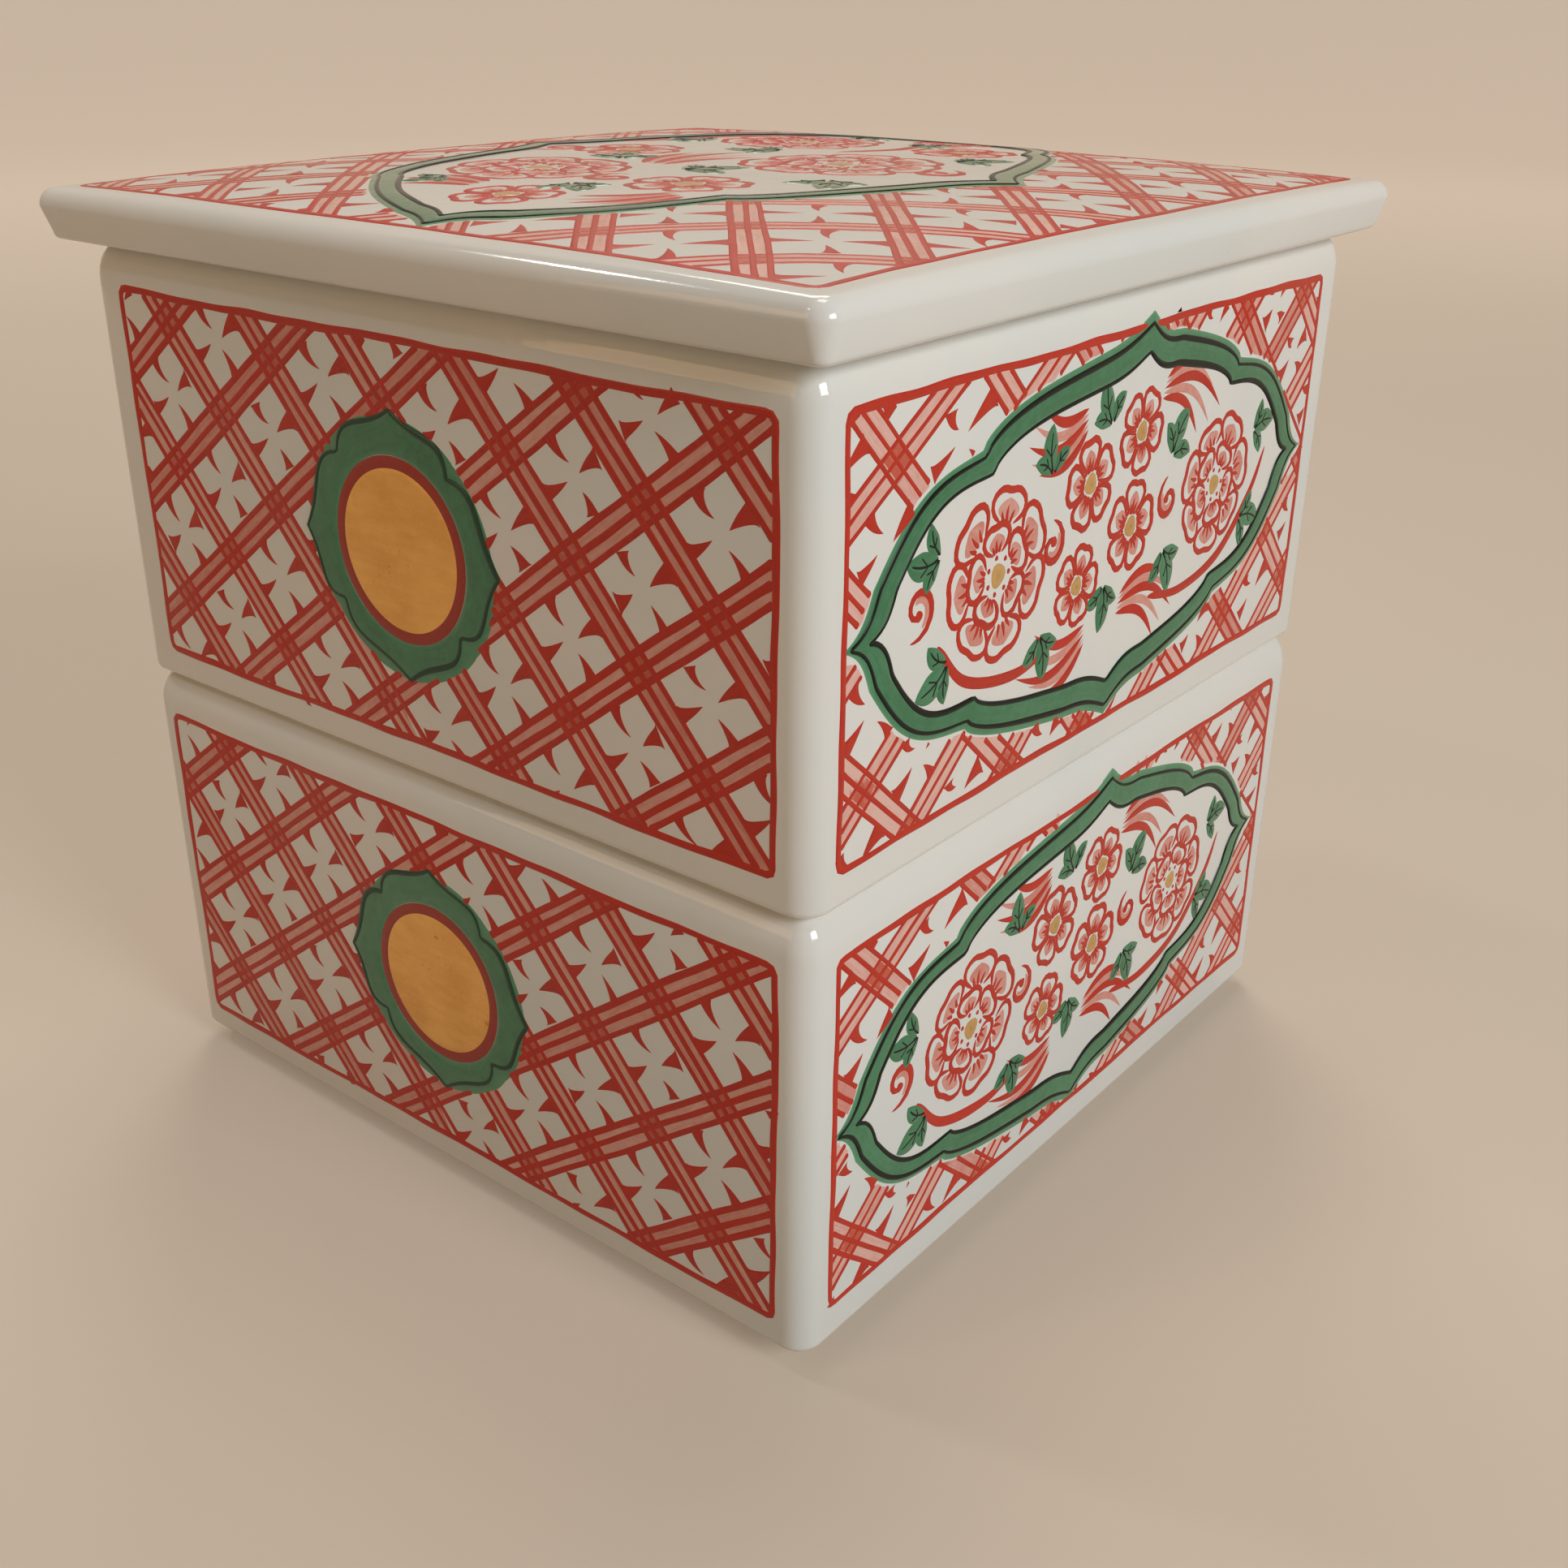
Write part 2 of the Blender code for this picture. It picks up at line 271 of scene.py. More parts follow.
# Sprays of flowers, about the middle of their panel: places, sizes and turns in degrees.
SIDE_SPRAY = {
    "middle": (-1.5, 25.0),
    "peonies": ((-22.0, 0.5, 8.6, 80), (24.0, 0.0, 8.0, 110)),
    "blossoms": ((-5.0, 6.0, 4.7, 100), (5.2, 9.6, 4.5, 60), (4.4, -0.6, 4.9, 80), (-6.4, -4.6, 4.3, 70)),
    "leaves": (
        (-32.0, 4.8, 175, 5.6), (-30.0, -6.0, 205, 6.0), (-12.8, 8.4, 95, 5.4), (-13.4, -8.0, 280, 5.6),
        (12.6, 5.4, 55, 6.0), (12.4, -5.0, 290, 6.0), (33.0, 4.6, 5, 5.4), (31.5, -5.6, 345, 5.8),
        (-1.4, 11.4, 110, 5.5), (-0.6, -5.8, 265, 5.5),
    ),
    "blades": (
        (-6.5, 13.0, 184, 12.0, 0.16), (9.5, 13.4, 343, 14.0, 0.16),
        (3.0, -9.0, 345, 13.0, 0.16), (-4.0, -10.5, 185, 13.0, 0.16),
    ),
    "blade_width": 1.2,
    "stems": (
        ((-32, -4), (-27, -9.0), (-18, -11.0), (-10, -9.8)),
        ((10, -10), (18, -11), (27, -9), (34, -3), (37, 2)),
    ),
    "stem_width": 1.1,
    "scrolls": ((-35.5, 0.5, 3.2, 250, 400), (-12.0, 1.0, 2.8, 90, -400), (12.8, 0.6, 2.8, 100, 420)),
    "scroll_width": 0.8,
}
LID_SPRAY = {
    "middle": (-1.0, 0.0),
    "peonies": ((-11, -20, 10.5, 80), (12, 5, 11.0, 110), (-9, 25, 10.0, 60)),
    "blossoms": (
        (12, -21, 6.4, 100), (-18, 2, 6.4, 70), (14, 27, 6.2, 40), (2, -37, 5.6, 20), (3, 41, 4.8, 20),
    ),
    "leaves": (
        (-13, -31.5, 250, 5.5), (2, -28, 320, 6.5), (3, -12, 60, 8), (-11, -7, 120, 7.5),
        (21, -9, 300, 7.5), (20, 16, 50, 7.5), (-3, 13, 200, 7.5), (-19, 17, 170, 7),
        (4, 30, 60, 7), (-9, 36, 80, 6.5),
    ),
    "blades": ((-4, -9, 92, 17, 0.12), (17, -28, 240, 12, 0.12), (-6, -33.5, 186, 11, -0.1)),
    "blade_width": 1.6,
    "stems": (((-27, 10), (-24, 16), (-21, 26), (-14, 36)), ((3, 16), (6, 24), (5, 32), (9, 36))),
    "stem_width": 1.5,
    "scrolls": ((-27, -1, 4.0, 250, 400), (25, 5, 3.6, 90, -400), (2, -22, 3.6, 100, 420)),
    "scroll_width": 1.1,
}

# What a lobed face and the lid are painted with.
SIDE_PAINT = (SIDE_LOBES, SIDE_SWELLS, SIDE_RISING, SIDE_FALLING, LOBED_FACE_LINE, LOBED_FACE_WASH)
SIDE_PAINT += (SIDE_SPRAY,)
LID_PAINT = (LID_LOBES, LID_SWELLS, LID_RISING, LID_FALLING, LID_LINE, LID_WASH, LID_SPRAY)


class Side:
    """A side of a tier: u to the right and v up, seen from outside, and h out of the face."""

    def __init__(self, side, body, turn, field, seed):
        low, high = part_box(body)
        self.name = f"{body}_{side}"
        self.body = body
        self.rng = random.Random(seed)
        self.turn = math.radians(turn)
        self.half = high.x
        self.bottom = low.z + FOOT_HEIGHT + PAINT_START * MM
        self.field = field
        self.ends = SIDE_ENDS

    def place(self, u, v, h):
        out = self.half + h * MM
        across = u * MM
        x = across * math.cos(self.turn) + out * math.sin(self.turn)
        y = across * math.sin(self.turn) - out * math.cos(self.turn)
        return np.column_stack((x, y, self.bottom + v * MM))


class LidTop:
    """The swollen top of the lid: u along +X, v along +Y, and h up from its surface."""

    def __init__(self, name, body, seed):
        self.name = name
        self.body = body
        self.rng = random.Random(seed)
        self.field = LID_FIELD
        self.ends = LID_ENDS
        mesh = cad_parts[body].data
        points = [vertex.co for vertex in mesh.vertices]
        self.surface = BVHTree.FromPolygons(points, [list(face.vertices) for face in mesh.polygons])
        self.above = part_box(body)[1].z + 0.01

    def place(self, u, v, h):
        down = Vector((0.0, 0.0, -1.0))
        points = []
        for across, along, out in zip(u, v, h):
            start = Vector((across * MM, along * MM, self.above))
            hit = self.surface.ray_cast(start, down)[0]
            points.append((start.x, start.y, hit.z + out * MM))
        return np.array(points)


# Shapes of lines, as arrays of (u, v) points.


def distances(points):
    """How far along the line each point is."""
    return np.r_[0.0, np.cumsum(np.linalg.norm(np.diff(points, axis=0), axis=1))]


def points_at(where, marks, points):
    """New points on a line, at the given places. The line's own points lie at the marks."""
    return np.column_stack([np.interp(where, marks, points[:, axis]) for axis in (0, 1)])


def spaced(points, step):
    """The same line with points at even steps."""
    points = np.asarray(points, float)
    lengths = distances(points)
    count = max(2, int(math.ceil(lengths[-1] / step)) + 1)
    return points_at(np.linspace(0.0, lengths[-1], count), lengths, points)


def curve(points, step=0.5):
    """A smooth line through the points."""
    points = np.asarray(points, float)
    padded = np.vstack((2 * points[0] - points[1], points, 2 * points[-1] - points[-2]))
    t = np.linspace(0.0, 1.0, 12, endpoint=False)[:, None]
    pieces = []
    for a, b, c, d in zip(padded, padded[1:], padded[2:], padded[3:]):
        bend = (2 * a - 5 * b + 4 * c - d) * t**2 + (3 * b - a - 3 * c + d) * t**3
        pieces.append(0.5 * (2 * b + (c - a) * t + bend))
    return spaced(np.vstack(pieces + [points[-1:]]), step)


def sideways(points, closed=False):
    """The unit normal to the left of the line at each point."""
    if closed:
        ahead = np.roll(points, -1, axis=0) - np.roll(points, 1, axis=0)
    else:
        ahead = np.gradient(points, axis=0)
    ahead /= np.maximum(np.linalg.norm(ahead, axis=1), 1e-9)[:, None]
    return np.column_stack((-ahead[:, 1], ahead[:, 0]))


def bearing(start, end):
    """The unit direction from start to end, and the one to its left."""
    ahead = (end - start) / np.linalg.norm(end - start)
    return ahead, np.array((-ahead[1], ahead[0]))


def heading(degrees):
    angle = math.radians(degrees)
    return np.array((math.cos(angle), math.sin(angle)))


def wavering(lengths, amount, rng):
    """A slow unsteady shift along a line, as of a hand."""
    shift = np.zeros_like(lengths)
    for wavelength, share in HAND_WAVES:
        phase = rng.uniform(0, 2 * math.pi)
        stretch = rng.uniform(*HAND_STRETCH)
        shift += share * np.sin(lengths * 2 * math.pi / (wavelength * stretch) + phase)
    return shift * amount


def runs(keep):
    """(first, last) of each unbroken run of True that has at least three points."""
    edges = np.flatnonzero(np.diff(np.r_[0, keep.astype(int), 0]))
    return [(a, b - 1) for a, b in zip(edges[::2], edges[1::2]) if b - a >= 3]


def inside(outline, points):
    """Whether each point lies inside the closed outline."""
    x, y = points[:, 0], points[:, 1]
    found = np.zeros(len(points), bool)
    for (ax, ay), (bx, by) in zip(outline, np.roll(outline, -1, axis=0)):
        if ay == by:
            continue
        crosses = ((ay > y) != (by > y)) & (x < ax + (y - ay) * (bx - ax) / (by - ay))
        found ^= crosses
    return found


def distance_outside(outline, points):
    """How far each point is outside the closed outline, and below zero inside it."""
    gaps = np.linalg.norm(points[:, None, :] - outline[None, :, :], axis=2).min(axis=1)
    return np.where(inside(outline, points), -gaps, gaps)


# Enamel: strokes become closed, domed, very thin meshes.


class Enamel:
    """Strokes of one enamel on one face, collected and made into one mesh."""

    def __init__(self, panel, rng):
        self.panel = panel
        self.rng = rng
        self.rows = []
        self.faces = []
        self.count = 0

    def skin(self, columns, heights, coat=1.0, closed=True):
        """A closed skin over lines that run side by side, from the left of their way to the right."""
        places = np.stack(columns, axis=1)
        length, wide = places.shape[:2]
        flat = [places.reshape(-1, 2)]
        across = np.linspace(-1.0, 1.0, wide)
        load = self.rng.uniform(*BRUSH_LOAD) + wavering(distances(columns[0]), LOAD_WAVER, self.rng)
        for values in (heights, across, coat, load[:, None]):
            flat.append(np.broadcast_to(values, (length, wide)).reshape(-1, 1))
        self.rows.append(np.concatenate(flat, axis=1))
        start = self.count
        self.count += length * wide
        for row in range(length if closed else length - 1):
            here = start + row * wide
            there = start + (row + 1) % length * wide
            for column in range(wide - 1):
                self.faces.append((here + column, here + column + 1, there + column + 1, there + column))
            self.faces.append((here, there, there + wide - 1, here + wide - 1))
        if not closed:
            last = start + (length - 1) * wide
            self.faces.append(tuple(range(start + wide - 1, start - 1, -1)))
            self.faces.append(tuple(range(last, last + wide)))

    def stroke(self, points, widths, rise, closed=False):
        """A domed stroke along the points, with a width at each."""
        points = np.asarray(points, float)
        widths = np.broadcast_to(np.asarray(widths, float), len(points))
        normals = sideways(points, closed)
        columns = [points - normals * (widths * side / 2)[:, None] for side in ACROSS]
        full = np.minimum(1.0, widths / max(widths.max(), 1e-6) * 1.6)
        heights = rise * DOME[None, :] * full[:, None]
        heights[:, 0] = heights[:, -1] = -SINK
        self.skin(columns, heights, closed=closed)

    def brush(self, points, width, rise, start=0.5, end=0.5, swell=0.0, flare=0.0):
        """A stroke with brushed ends: 0.5 ends round and more runs out to a longer tip.

        Swell widens its middle, and flare the ends, where the brush is pressed down and lifted.
        """
        lengths = distances(points)
        total = lengths[-1]
        head = BRUSH_END * min(start * width, total * LONGEST_END)
        tail = total - BRUSH_END[::-1] * min(end * width, total * LONGEST_END)
        count = max(2, int((tail[0] - head[-1]) / BRUSH_STEP) + 2)
        where = np.r_[head, np.linspace(head[-1], tail[0], count)[1:-1], tail]
        line = points_at(where, lengths, points)
        reach_in = np.clip(where / max(head[-1], 1e-6), 0.0, 1.0)
        reach_out = np.clip((total - where) / max(total - tail[0], 1e-6), 0.0, 1.0)
        widths = width * np.sqrt(1 - (1 - reach_in) ** 2) * np.sqrt(1 - (1 - reach_out) ** 2)
        widths = widths * (1 + wavering(where, BRUSH_WAVER, self.rng))
        widths = widths * (1 + swell * np.sin(np.pi * where / total)) / (1 + 0.5 * swell)
        pressed = np.exp(-where / PRESS_REACH) + np.exp((where - total) / PRESS_REACH)
        self.stroke(line, np.maximum(widths * (1 + flare * pressed), FINEST), rise)

    def dab(self, start, end, width, rise, belly, bend=0.0):
        """One press of a loaded brush: a drop from start to end, widest at belly."""
        start, end = np.asarray(start, float), np.asarray(end, float)
        s = np.linspace(0.0, 1.0, DAB_POINTS)[:, None]
        chord = end - start
        normal = np.array((-chord[1], chord[0]))
        points = start + chord * s + normal * bend * np.sin(np.pi * s)
        power = math.log(0.5) / math.log(belly)
        widths = width * np.sin(np.pi * s[:, 0] ** power) ** DAB_FULLNESS
        self.stroke(points, np.maximum(widths, FINEST), rise)

    def disc(self, centre, radii, heights, count=14, waver=0.0):
        """A round spot, from its outermost radius in to its middle."""
        angles = np.linspace(0.0, -2 * math.pi, count, endpoint=False)
        ring = np.column_stack((np.cos(angles), np.sin(angles)))
        uneven = 1 + waver * np.sin(angles * 3 + self.rng.uniform(0, 6))[:, None]
        columns = [np.asarray(centre) + ring * uneven * radius for radius in radii]
        self.skin(columns, np.asarray(heights)[None, :])

    def dot(self, centre, radius, rise):
        """A small round drop."""
        radii = (radius, radius * 0.85, radius * 0.5, 0.01)
        self.disc(centre, radii, (-SINK, rise * 0.6, rise * 0.92, rise), waver=0.08)

    def build(self, name, slot, finish=None):
        """The piece, riding on its body. Its finish is its slot's, unless another is given."""
        rows = np.concatenate(self.rows)
        places = self.panel.place(rows[:, 0], rows[:, 1], rows[:, 2])
        mesh = bpy.data.meshes.new(f"{self.panel.name}_{name}")
        mesh.from_pydata(places.tolist(), [], self.faces)
        for title, column in (("across", 3), ("coat", 4), ("load", 5)):
            values = mesh.attributes.new(title, "FLOAT", "POINT")
            values.data.foreach_set("value", rows[:, column].astype(np.float32))
        mesh.shade_smooth()
        mesh.set_sharp_from_angle(angle=math.radians(SHARP_ANGLE))
        mesh.materials.append(MATERIALS[finish or slot])
        piece = bpy.data.objects.new(mesh.name, mesh)
        bpy.context.scene.collection.objects.link(piece)
        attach(piece, self.panel.body)


# Lobed outlines.


def lobe(s):
    """The swell of a lobe from a cusp, where it first hooks in a little, to the notch after it."""
    hook = np.sin(np.pi * np.clip(s / 0.25, 0.0, 1.0))
    return np.sin(np.pi * s**1.3) ** 1.1 - 0.22 * hook


def ogee(s, dip):
    """The double curve from a notch, quickly out and slowly back, to the dip before a cusp."""
    out = np.sin(np.pi * np.clip(s / 0.67, 0.0, 1.0) ** 0.6)
    back = np.sin(np.pi * np.clip((s - 0.67) / 0.33, 0.0, 1.0))
    return out - dip * back


def petal_swell(s):
    """The swell of a medallion's lobe, from a cusp, where it starts flat, to the notch after it."""
    return np.sin(np.pi * s**2.2) ** 0.9


def panel_swells(lobes, waves, dips):
    """Swells for the eight ways round a panel, from its first end cusp clockwise."""
    swells = []
    for index in (0, 2):
        swells.append(lambda s, size=lobes[index]: size * lobe(s))
        swells.append(lambda s, size=waves[index], dip=dips[index]: size * ogee(s, dip))
        swells.append(lambda s, size=waves[index + 1], dip=dips[index + 1]: size * ogee(1 - s, dip))
        swells.append(lambda s, size=lobes[index + 1]: size * lobe(1 - s))
    return swells


def lobed_line(features, swells, shift=0.0, count=PANEL_STEPS):
    """The closed line through cusps and notches, clockwise, moved outwards by shift.

    The swells are functions, for the ways from one feature to the next, used in turn.
    """
    features = np.asarray(features, float)
    share = np.linspace(0.0, 1.0, count, endpoint=False)
    plain = None
    for move in (0.0, shift):
        if move:
            outward = sideways(plain, closed=True)[::count]
            corner = np.array([CUSP_STRETCH, NOTCH_STRETCH] * (len(features) // 2))
            features = features + outward * (move * corner)[:, None]
        pieces = []
        for index, (start, end) in enumerate(zip(features, np.roll(features, -1, axis=0))):
            left = bearing(start, end)[1]
            swell = swells[index % len(swells)](share)
            pieces.append(start + (end - start) * share[:, None] + left * swell[:, None])
        plain = np.vstack(pieces)
    return plain


# Red lattice.


def band_ends(panel, band):
    """The lower and upper end of a band's middle."""
    high, low = panel.ends
    return np.array((band[1], low)), np.array((band[0], high))


def crossing(panel, band, other):
    """Where the middles of two bands cross."""
    a, b = band_ends(panel, band)
    c, d = band_ends(panel, other)
    way, over = b - a, d - c
    share = ((c - a)[0] * over[1] - (c - a)[1] * over[0]) / (way[0] * over[1] - way[1] * over[0])
    return a + way * share


def within(field, points):
    """Whether each point lies inside the painted field."""
    left, low, right, high = field
    u, v = points[:, 0], points[:, 1]
    return (u > left) & (u < right) & (v > low) & (v < high)


def coat_where(panel, bands, single):
    """How strong the wash is at each place: the single strength, and more over these bands' wash."""
    lines = [band_ends(panel, band) for band in bands]

    def coat(places):
        found = np.full(places.shape[:2], single)
        for start, end in lines:
            way = bearing(start, end)[0]
            away = places - start
            gap = np.abs(away[..., 0] * way[1] - away[..., 1] * way[0])
            found = np.where(gap < WASH_WIDTH / 2, CROSSED_WASH, found)
        return found

    return coat


def ruled(panel, band, shift, waver):
    """A hand-ruled line beside the middle of a band, from below its lower end to above its upper end."""
    start, end = band_ends(panel, band)
    way, left = bearing(start, end)
    ends = np.array((start - way * RULE_REACH, end + way * RULE_REACH))
    points = spaced(ends + left * shift, RULE_STEP)
    return points + left * wavering(distances(points), waver, panel.rng)[:, None]


def shared_part(pieces, first, last):
    """The piece that shares most with first..last, with ends at most a wash's width from those two."""

    def shared(piece):
        return min(piece[1], last) - max(piece[0], first)

    best = max(pieces, key=shared, default=(first, last))
    if shared(best) <= 0:
        return first, last
    spare = WASH_WIDTH / RULE_STEP
    half_way = (first + last) / 2
    start = np.clip(best[0], first - spare, min(first + spare, half_way - 1))
    return start, np.clip(best[1], max(last - spare, half_way + 1), last + spare)


def wash_band(wash, middle, rise, coat, shown):
    """The wash of one band. Each line along it is cut by itself, so its ends lie along the edge."""
    left = sideways(middle)
    lines = [middle - left * (WASH_WIDTH / 2 * side) for side in ACROSS]
    found = [runs(shown(line)) for line in lines]
    for first, last in runs(shown(middle)):
        count = max(2, (last - first) // 3)
        columns = []
        for line, pieces in zip(lines, found):
            start, end = shared_part(pieces, first, last)
            where = np.r_[start, np.linspace(start, end, count), end]
            columns.append(points_at(where, np.arange(len(line)), line))
        heights = np.broadcast_to(rise * FLAT, (count + 2, len(FLAT))).copy()
        heights[:, [0, -1]] = -SINK
        heights[[0, -1]] = -SINK
        wash.skin(columns, heights, coat(np.stack(columns, axis=1)), closed=False)


def lattice(panel, rising, falling, outside, gap, line_width, wash_coat):
    """Bands, thorns and frame on one face. outside() says how far points are from the motif."""

    def shown(line):
        return within(panel.field, line) & (outside(line) > gap)

    rng = panel.rng
    red = Enamel(panel, rng)
    wash = Enamel(panel, rng)
    families = ((rising, LINE_RISE, WASH_RISE, ()), (falling, LINE_OVER_RISE, WASH_OVER_RISE, rising))
    for bands, line_rise, wash_rise, under in families:
        for band in bands:
            strong = rng.random() < STRONG_WASH_SHARE
            single = STRONG_WASH if strong else wash_coat * rng.uniform(*WASH_LOAD)
            coat = coat_where(panel, under, single)
            middle = ruled(panel, band, 0.0, WASH_WAVER)
            wash_band(wash, middle, wash_rise, coat, shown)
            for shift in (-LINE_SPACING, 0.0, LINE_SPACING):
                line = ruled(panel, band, shift + rng.uniform(-LINE_DRIFT, LINE_DRIFT), LINE_WAVER)
                stop = gap + rng.uniform(-STOP_DRIFT, STOP_DRIFT) * (gap > 0)
                width = line_width * rng.uniform(*LINE_LOAD)
                for first, last in runs(within(panel.field, line) & (outside(line) > stop)):
                    if last - first > 4:
                        red.brush(line[first : last + 1], width, line_rise, flare=LINE_FLARE)
    for a, b in zip(rising, rising[1:]):
        for c, d in zip(falling, falling[1:]):
            corners = [crossing(panel, *pair) for pair in ((a, c), (a, d), (b, d), (b, c))]
            middle = np.mean(corners, axis=0)
            for corner, after, shape in zip(corners, corners[1:] + corners[:1], THORNS):
                thorn(red, (corner + after) / 2, middle, shape, outside, gap)
    painted_frame(red)
    red.build("red_lattice", "red_enamel")
    wash.build("pink_wash", "pink_wash")


def thorn(red, root, middle, shape, outside, gap):
    """A hooked thorn from the side of a lattice cell towards its middle."""
    rng = red.rng
    base, stop, hook = shape
    inward, left = bearing(root, middle)
    clear = LINE_SPACING + THORN_CLEAR + THORN_FREE_GAP * (rng.random() < THORN_FREE_SHARE)
    start = root + inward * clear + left * rng.uniform(0.0, THORN_DRIFT)
    tip = middle - inward * stop * rng.uniform(*THORN_STOP_SHARE) + left * rng.uniform(0.0, THORN_DRIFT)
    bend = hook * rng.uniform(*THORN_HOOK_SHARE)
    base *= rng.uniform(*THORN_BASE_SHARE)
    if (tip - start) @ inward < THORN_SHORTEST:
        return
    s = np.linspace(0.0, 1.0, THORN_POINTS)
    points = start + (tip - start) * s[:, None] - left * (4 * bend * s * (1 - s))[:, None]
    widths = base * ((1 - s) ** 0.9 + 0.3 * np.exp(-s / 0.08)) + 0.05
    shown = within(red.panel.field, points) & (outside(points) > gap - 0.2)
    for first, last in runs(shown):
        red.stroke(points[first : last + 1], widths[first : last + 1], THORN_RISE)


def painted_frame(red):
    """The red line round a face, with soft corners."""
    left, low, right, high = red.panel.field
    corners = ((right, low, -90), (right, high, 0), (left, high, 90), (left, low, 180))
    points = []
    for u, v, turn in corners:
        inwards = np.array((-1 if u == right else 1, -1 if v == high else 1))
        middle = np.array((u, v)) + FRAME_CORNER * inwards
        for angle in np.linspace(turn, turn + 90, 6):
            points.append(middle + FRAME_CORNER * heading(angle))
    line = spaced(np.array(points + points[:1]), FRAME_STEP)[:-1]
    lengths = distances(line)
    trip = lengths / lengths[-1] * 2 * math.pi + red.rng.uniform(0.0, 1.0)
    waver = 0.10 * np.sin(trip * 5) + 0.06 * np.sin(trip * 13) + 0.03 * np.sin(trip * 31)
    line = line + sideways(line, closed=True) * waver[:, None]
    widths = FRAME_WIDTH * (1 + 0.10 * np.sin(trip * 7 + 2) + 0.06 * np.sin(trip * 23))
    red.stroke(line, widths, FRAME_RISE, closed=True)


# Motifs.


def outlined(panel, lines, finish):
    """Dark brush lines, one for each way from a cusp or notch to the next."""
    dark = Enamel(panel, panel.rng)
    for line, width in lines:
        steps = len(line) // LOBED_WAYS
        closed = np.vstack((line, line[:2]))
        for index in range(LOBED_WAYS):
            part = closed[index * steps : (index + 1) * steps + 2]
            load = panel.rng.uniform(*OUTLINE_LOAD)
            swell = panel.rng.uniform(*OUTLINE_SWELL)
            dark.brush(part, width * load, OUTLINE_RISE, OUTLINE_END, OUTLINE_END, swell)
    dark.build("dark_outline", "black_enamel", finish)


def medallion(panel):
    """A gold disc in a red ring, on a raised green rosette with a dark lobed outline."""
    rng = panel.rng
    centre = np.array(MEDALLION_AT)
    features = [centre + radius * heading(angle) for radius, angle in MEDALLION_LINE]
    swells = (lambda s: MEDALLION_SWELL * petal_swell(s), lambda s: MEDALLION_SWELL * petal_swell(1 - s))
    outline = lobed_line(features, swells, count=MEDALLION_STEPS)
    away = outline - centre
    radius = np.linalg.norm(away, axis=1)[:, None]
    ray = away / radius
    bleed = np.maximum(radius + 0.25, BLEED_RADIUS + wavering(distances(outline)[:, None], 0.25, rng))
    fixed = np.ones_like(radius) * RING_RADIUS
    radii = [bleed, bleed * 0.6 + radius * 0.4, radius, radius - 0.5, radius * 0.5 + fixed * 0.5]
    radii += [fixed + 0.5, fixed + 0.1, fixed - 0.1]
    green = Enamel(panel, rng)
    green.skin([centre + ray * reach for reach in radii], ROSETTE_HEIGHTS[None, :], ROSETTE_COAT[None, :])
    green.build("green_rosette", "green_enamel")
    outlined(panel, [(outline, MEDALLION_LINE_WIDTH)], "green_line")
    ring = Enamel(panel, rng)
    ring.disc(centre, RING_RADII, RING_HEIGHTS, ROUND_SIDES, 0.004)
    ring.build("red_ring", "red_enamel", "ring_red")
    gold = Enamel(panel, rng)
    gold.disc(centre, GOLD_RADII, GOLD_HEIGHTS, ROUND_SIDES, 0.006)
    gold.build("gold_disc", "gold")


def lobed_band(panel, features, swells):
    """A raised green band round a lobed panel, between two dark lines. Gives its outer line."""
    runs_out = (GREEN_RUN, 0.6 * GREEN_RUN)
    shifts = np.r_[runs_out, -BAND_WIDTH * BAND_SHARES, -BAND_WIDTH - 0.12, -BAND_WIDTH - 0.3]
    columns = [lobed_line(features, swells, shift) for shift in shifts]
    outer, inner = columns[2], columns[6]
    green = Enamel(panel, panel.rng)
    green.skin(columns, BAND_HEIGHTS[None, :], BAND_COAT[None, :])
    green.build("green_band", "green_enamel")
    outlined(panel, [(outer, OUTER_LINE_WIDTH), (inner, INNER_LINE_WIDTH)], "black_enamel")
    return outer


# Flowers.


class Spray:
    """The enamels of a painted spray of flowers, laid out about the middle of its panel."""

    def __init__(self, panel, middle):
        self.panel = panel
        self.middle = np.array(middle)
        self.red = Enamel(panel, panel.rng)
        self.wash = Enamel(panel, panel.rng)
        self.leaves = Enamel(panel, panel.rng)
        self.veins = Enamel(panel, panel.rng)
        self.hearts = Enamel(panel, panel.rng)

    def at(self, x, y):
        return self.middle + np.array((x, y))

    def build(self):
        self.red.build("flower_lines", "red_enamel")
        self.wash.build("petal_wash", "pink_wash")
        self.leaves.build("leaves", "green_enamel")
        self.veins.build("leaf_veins", "black_enamel")
        self.hearts.build("flower_hearts", "ochre_enamel")


def petal(spray, at, turn, inner, outer, half, width):
    """One petal, half as wide as the angle half each way, washed at its root and boldly outlined."""
    long = outer - inner
    middle = inner + 0.4 * long
    spray.wash.dab(
        at + heading(turn) * (inner + 0.05 * long), at + heading(turn) * (inner + 0.72 * long),
        2 * middle * math.sin(math.radians(half * 0.8)), PETAL_RISE, 0.45,
    )
    edge = [at + heading(turn + side * half) * (inner + far * long) for side, far in PETAL_EDGE]
    spray.red.brush(curve(edge, 0.2), width, FLOWER_RISE, 2.5, 2.5, 0.6)
    for lean, far in PETAL_VEINS:
        root = at + heading(turn + lean * half * 0.6) * inner
        tip = at + heading(turn + lean * half) * (inner + far * long)
        spray.red.dab(root, tip, width * 0.8, FLOWER_RISE, 0.3, 0.05)


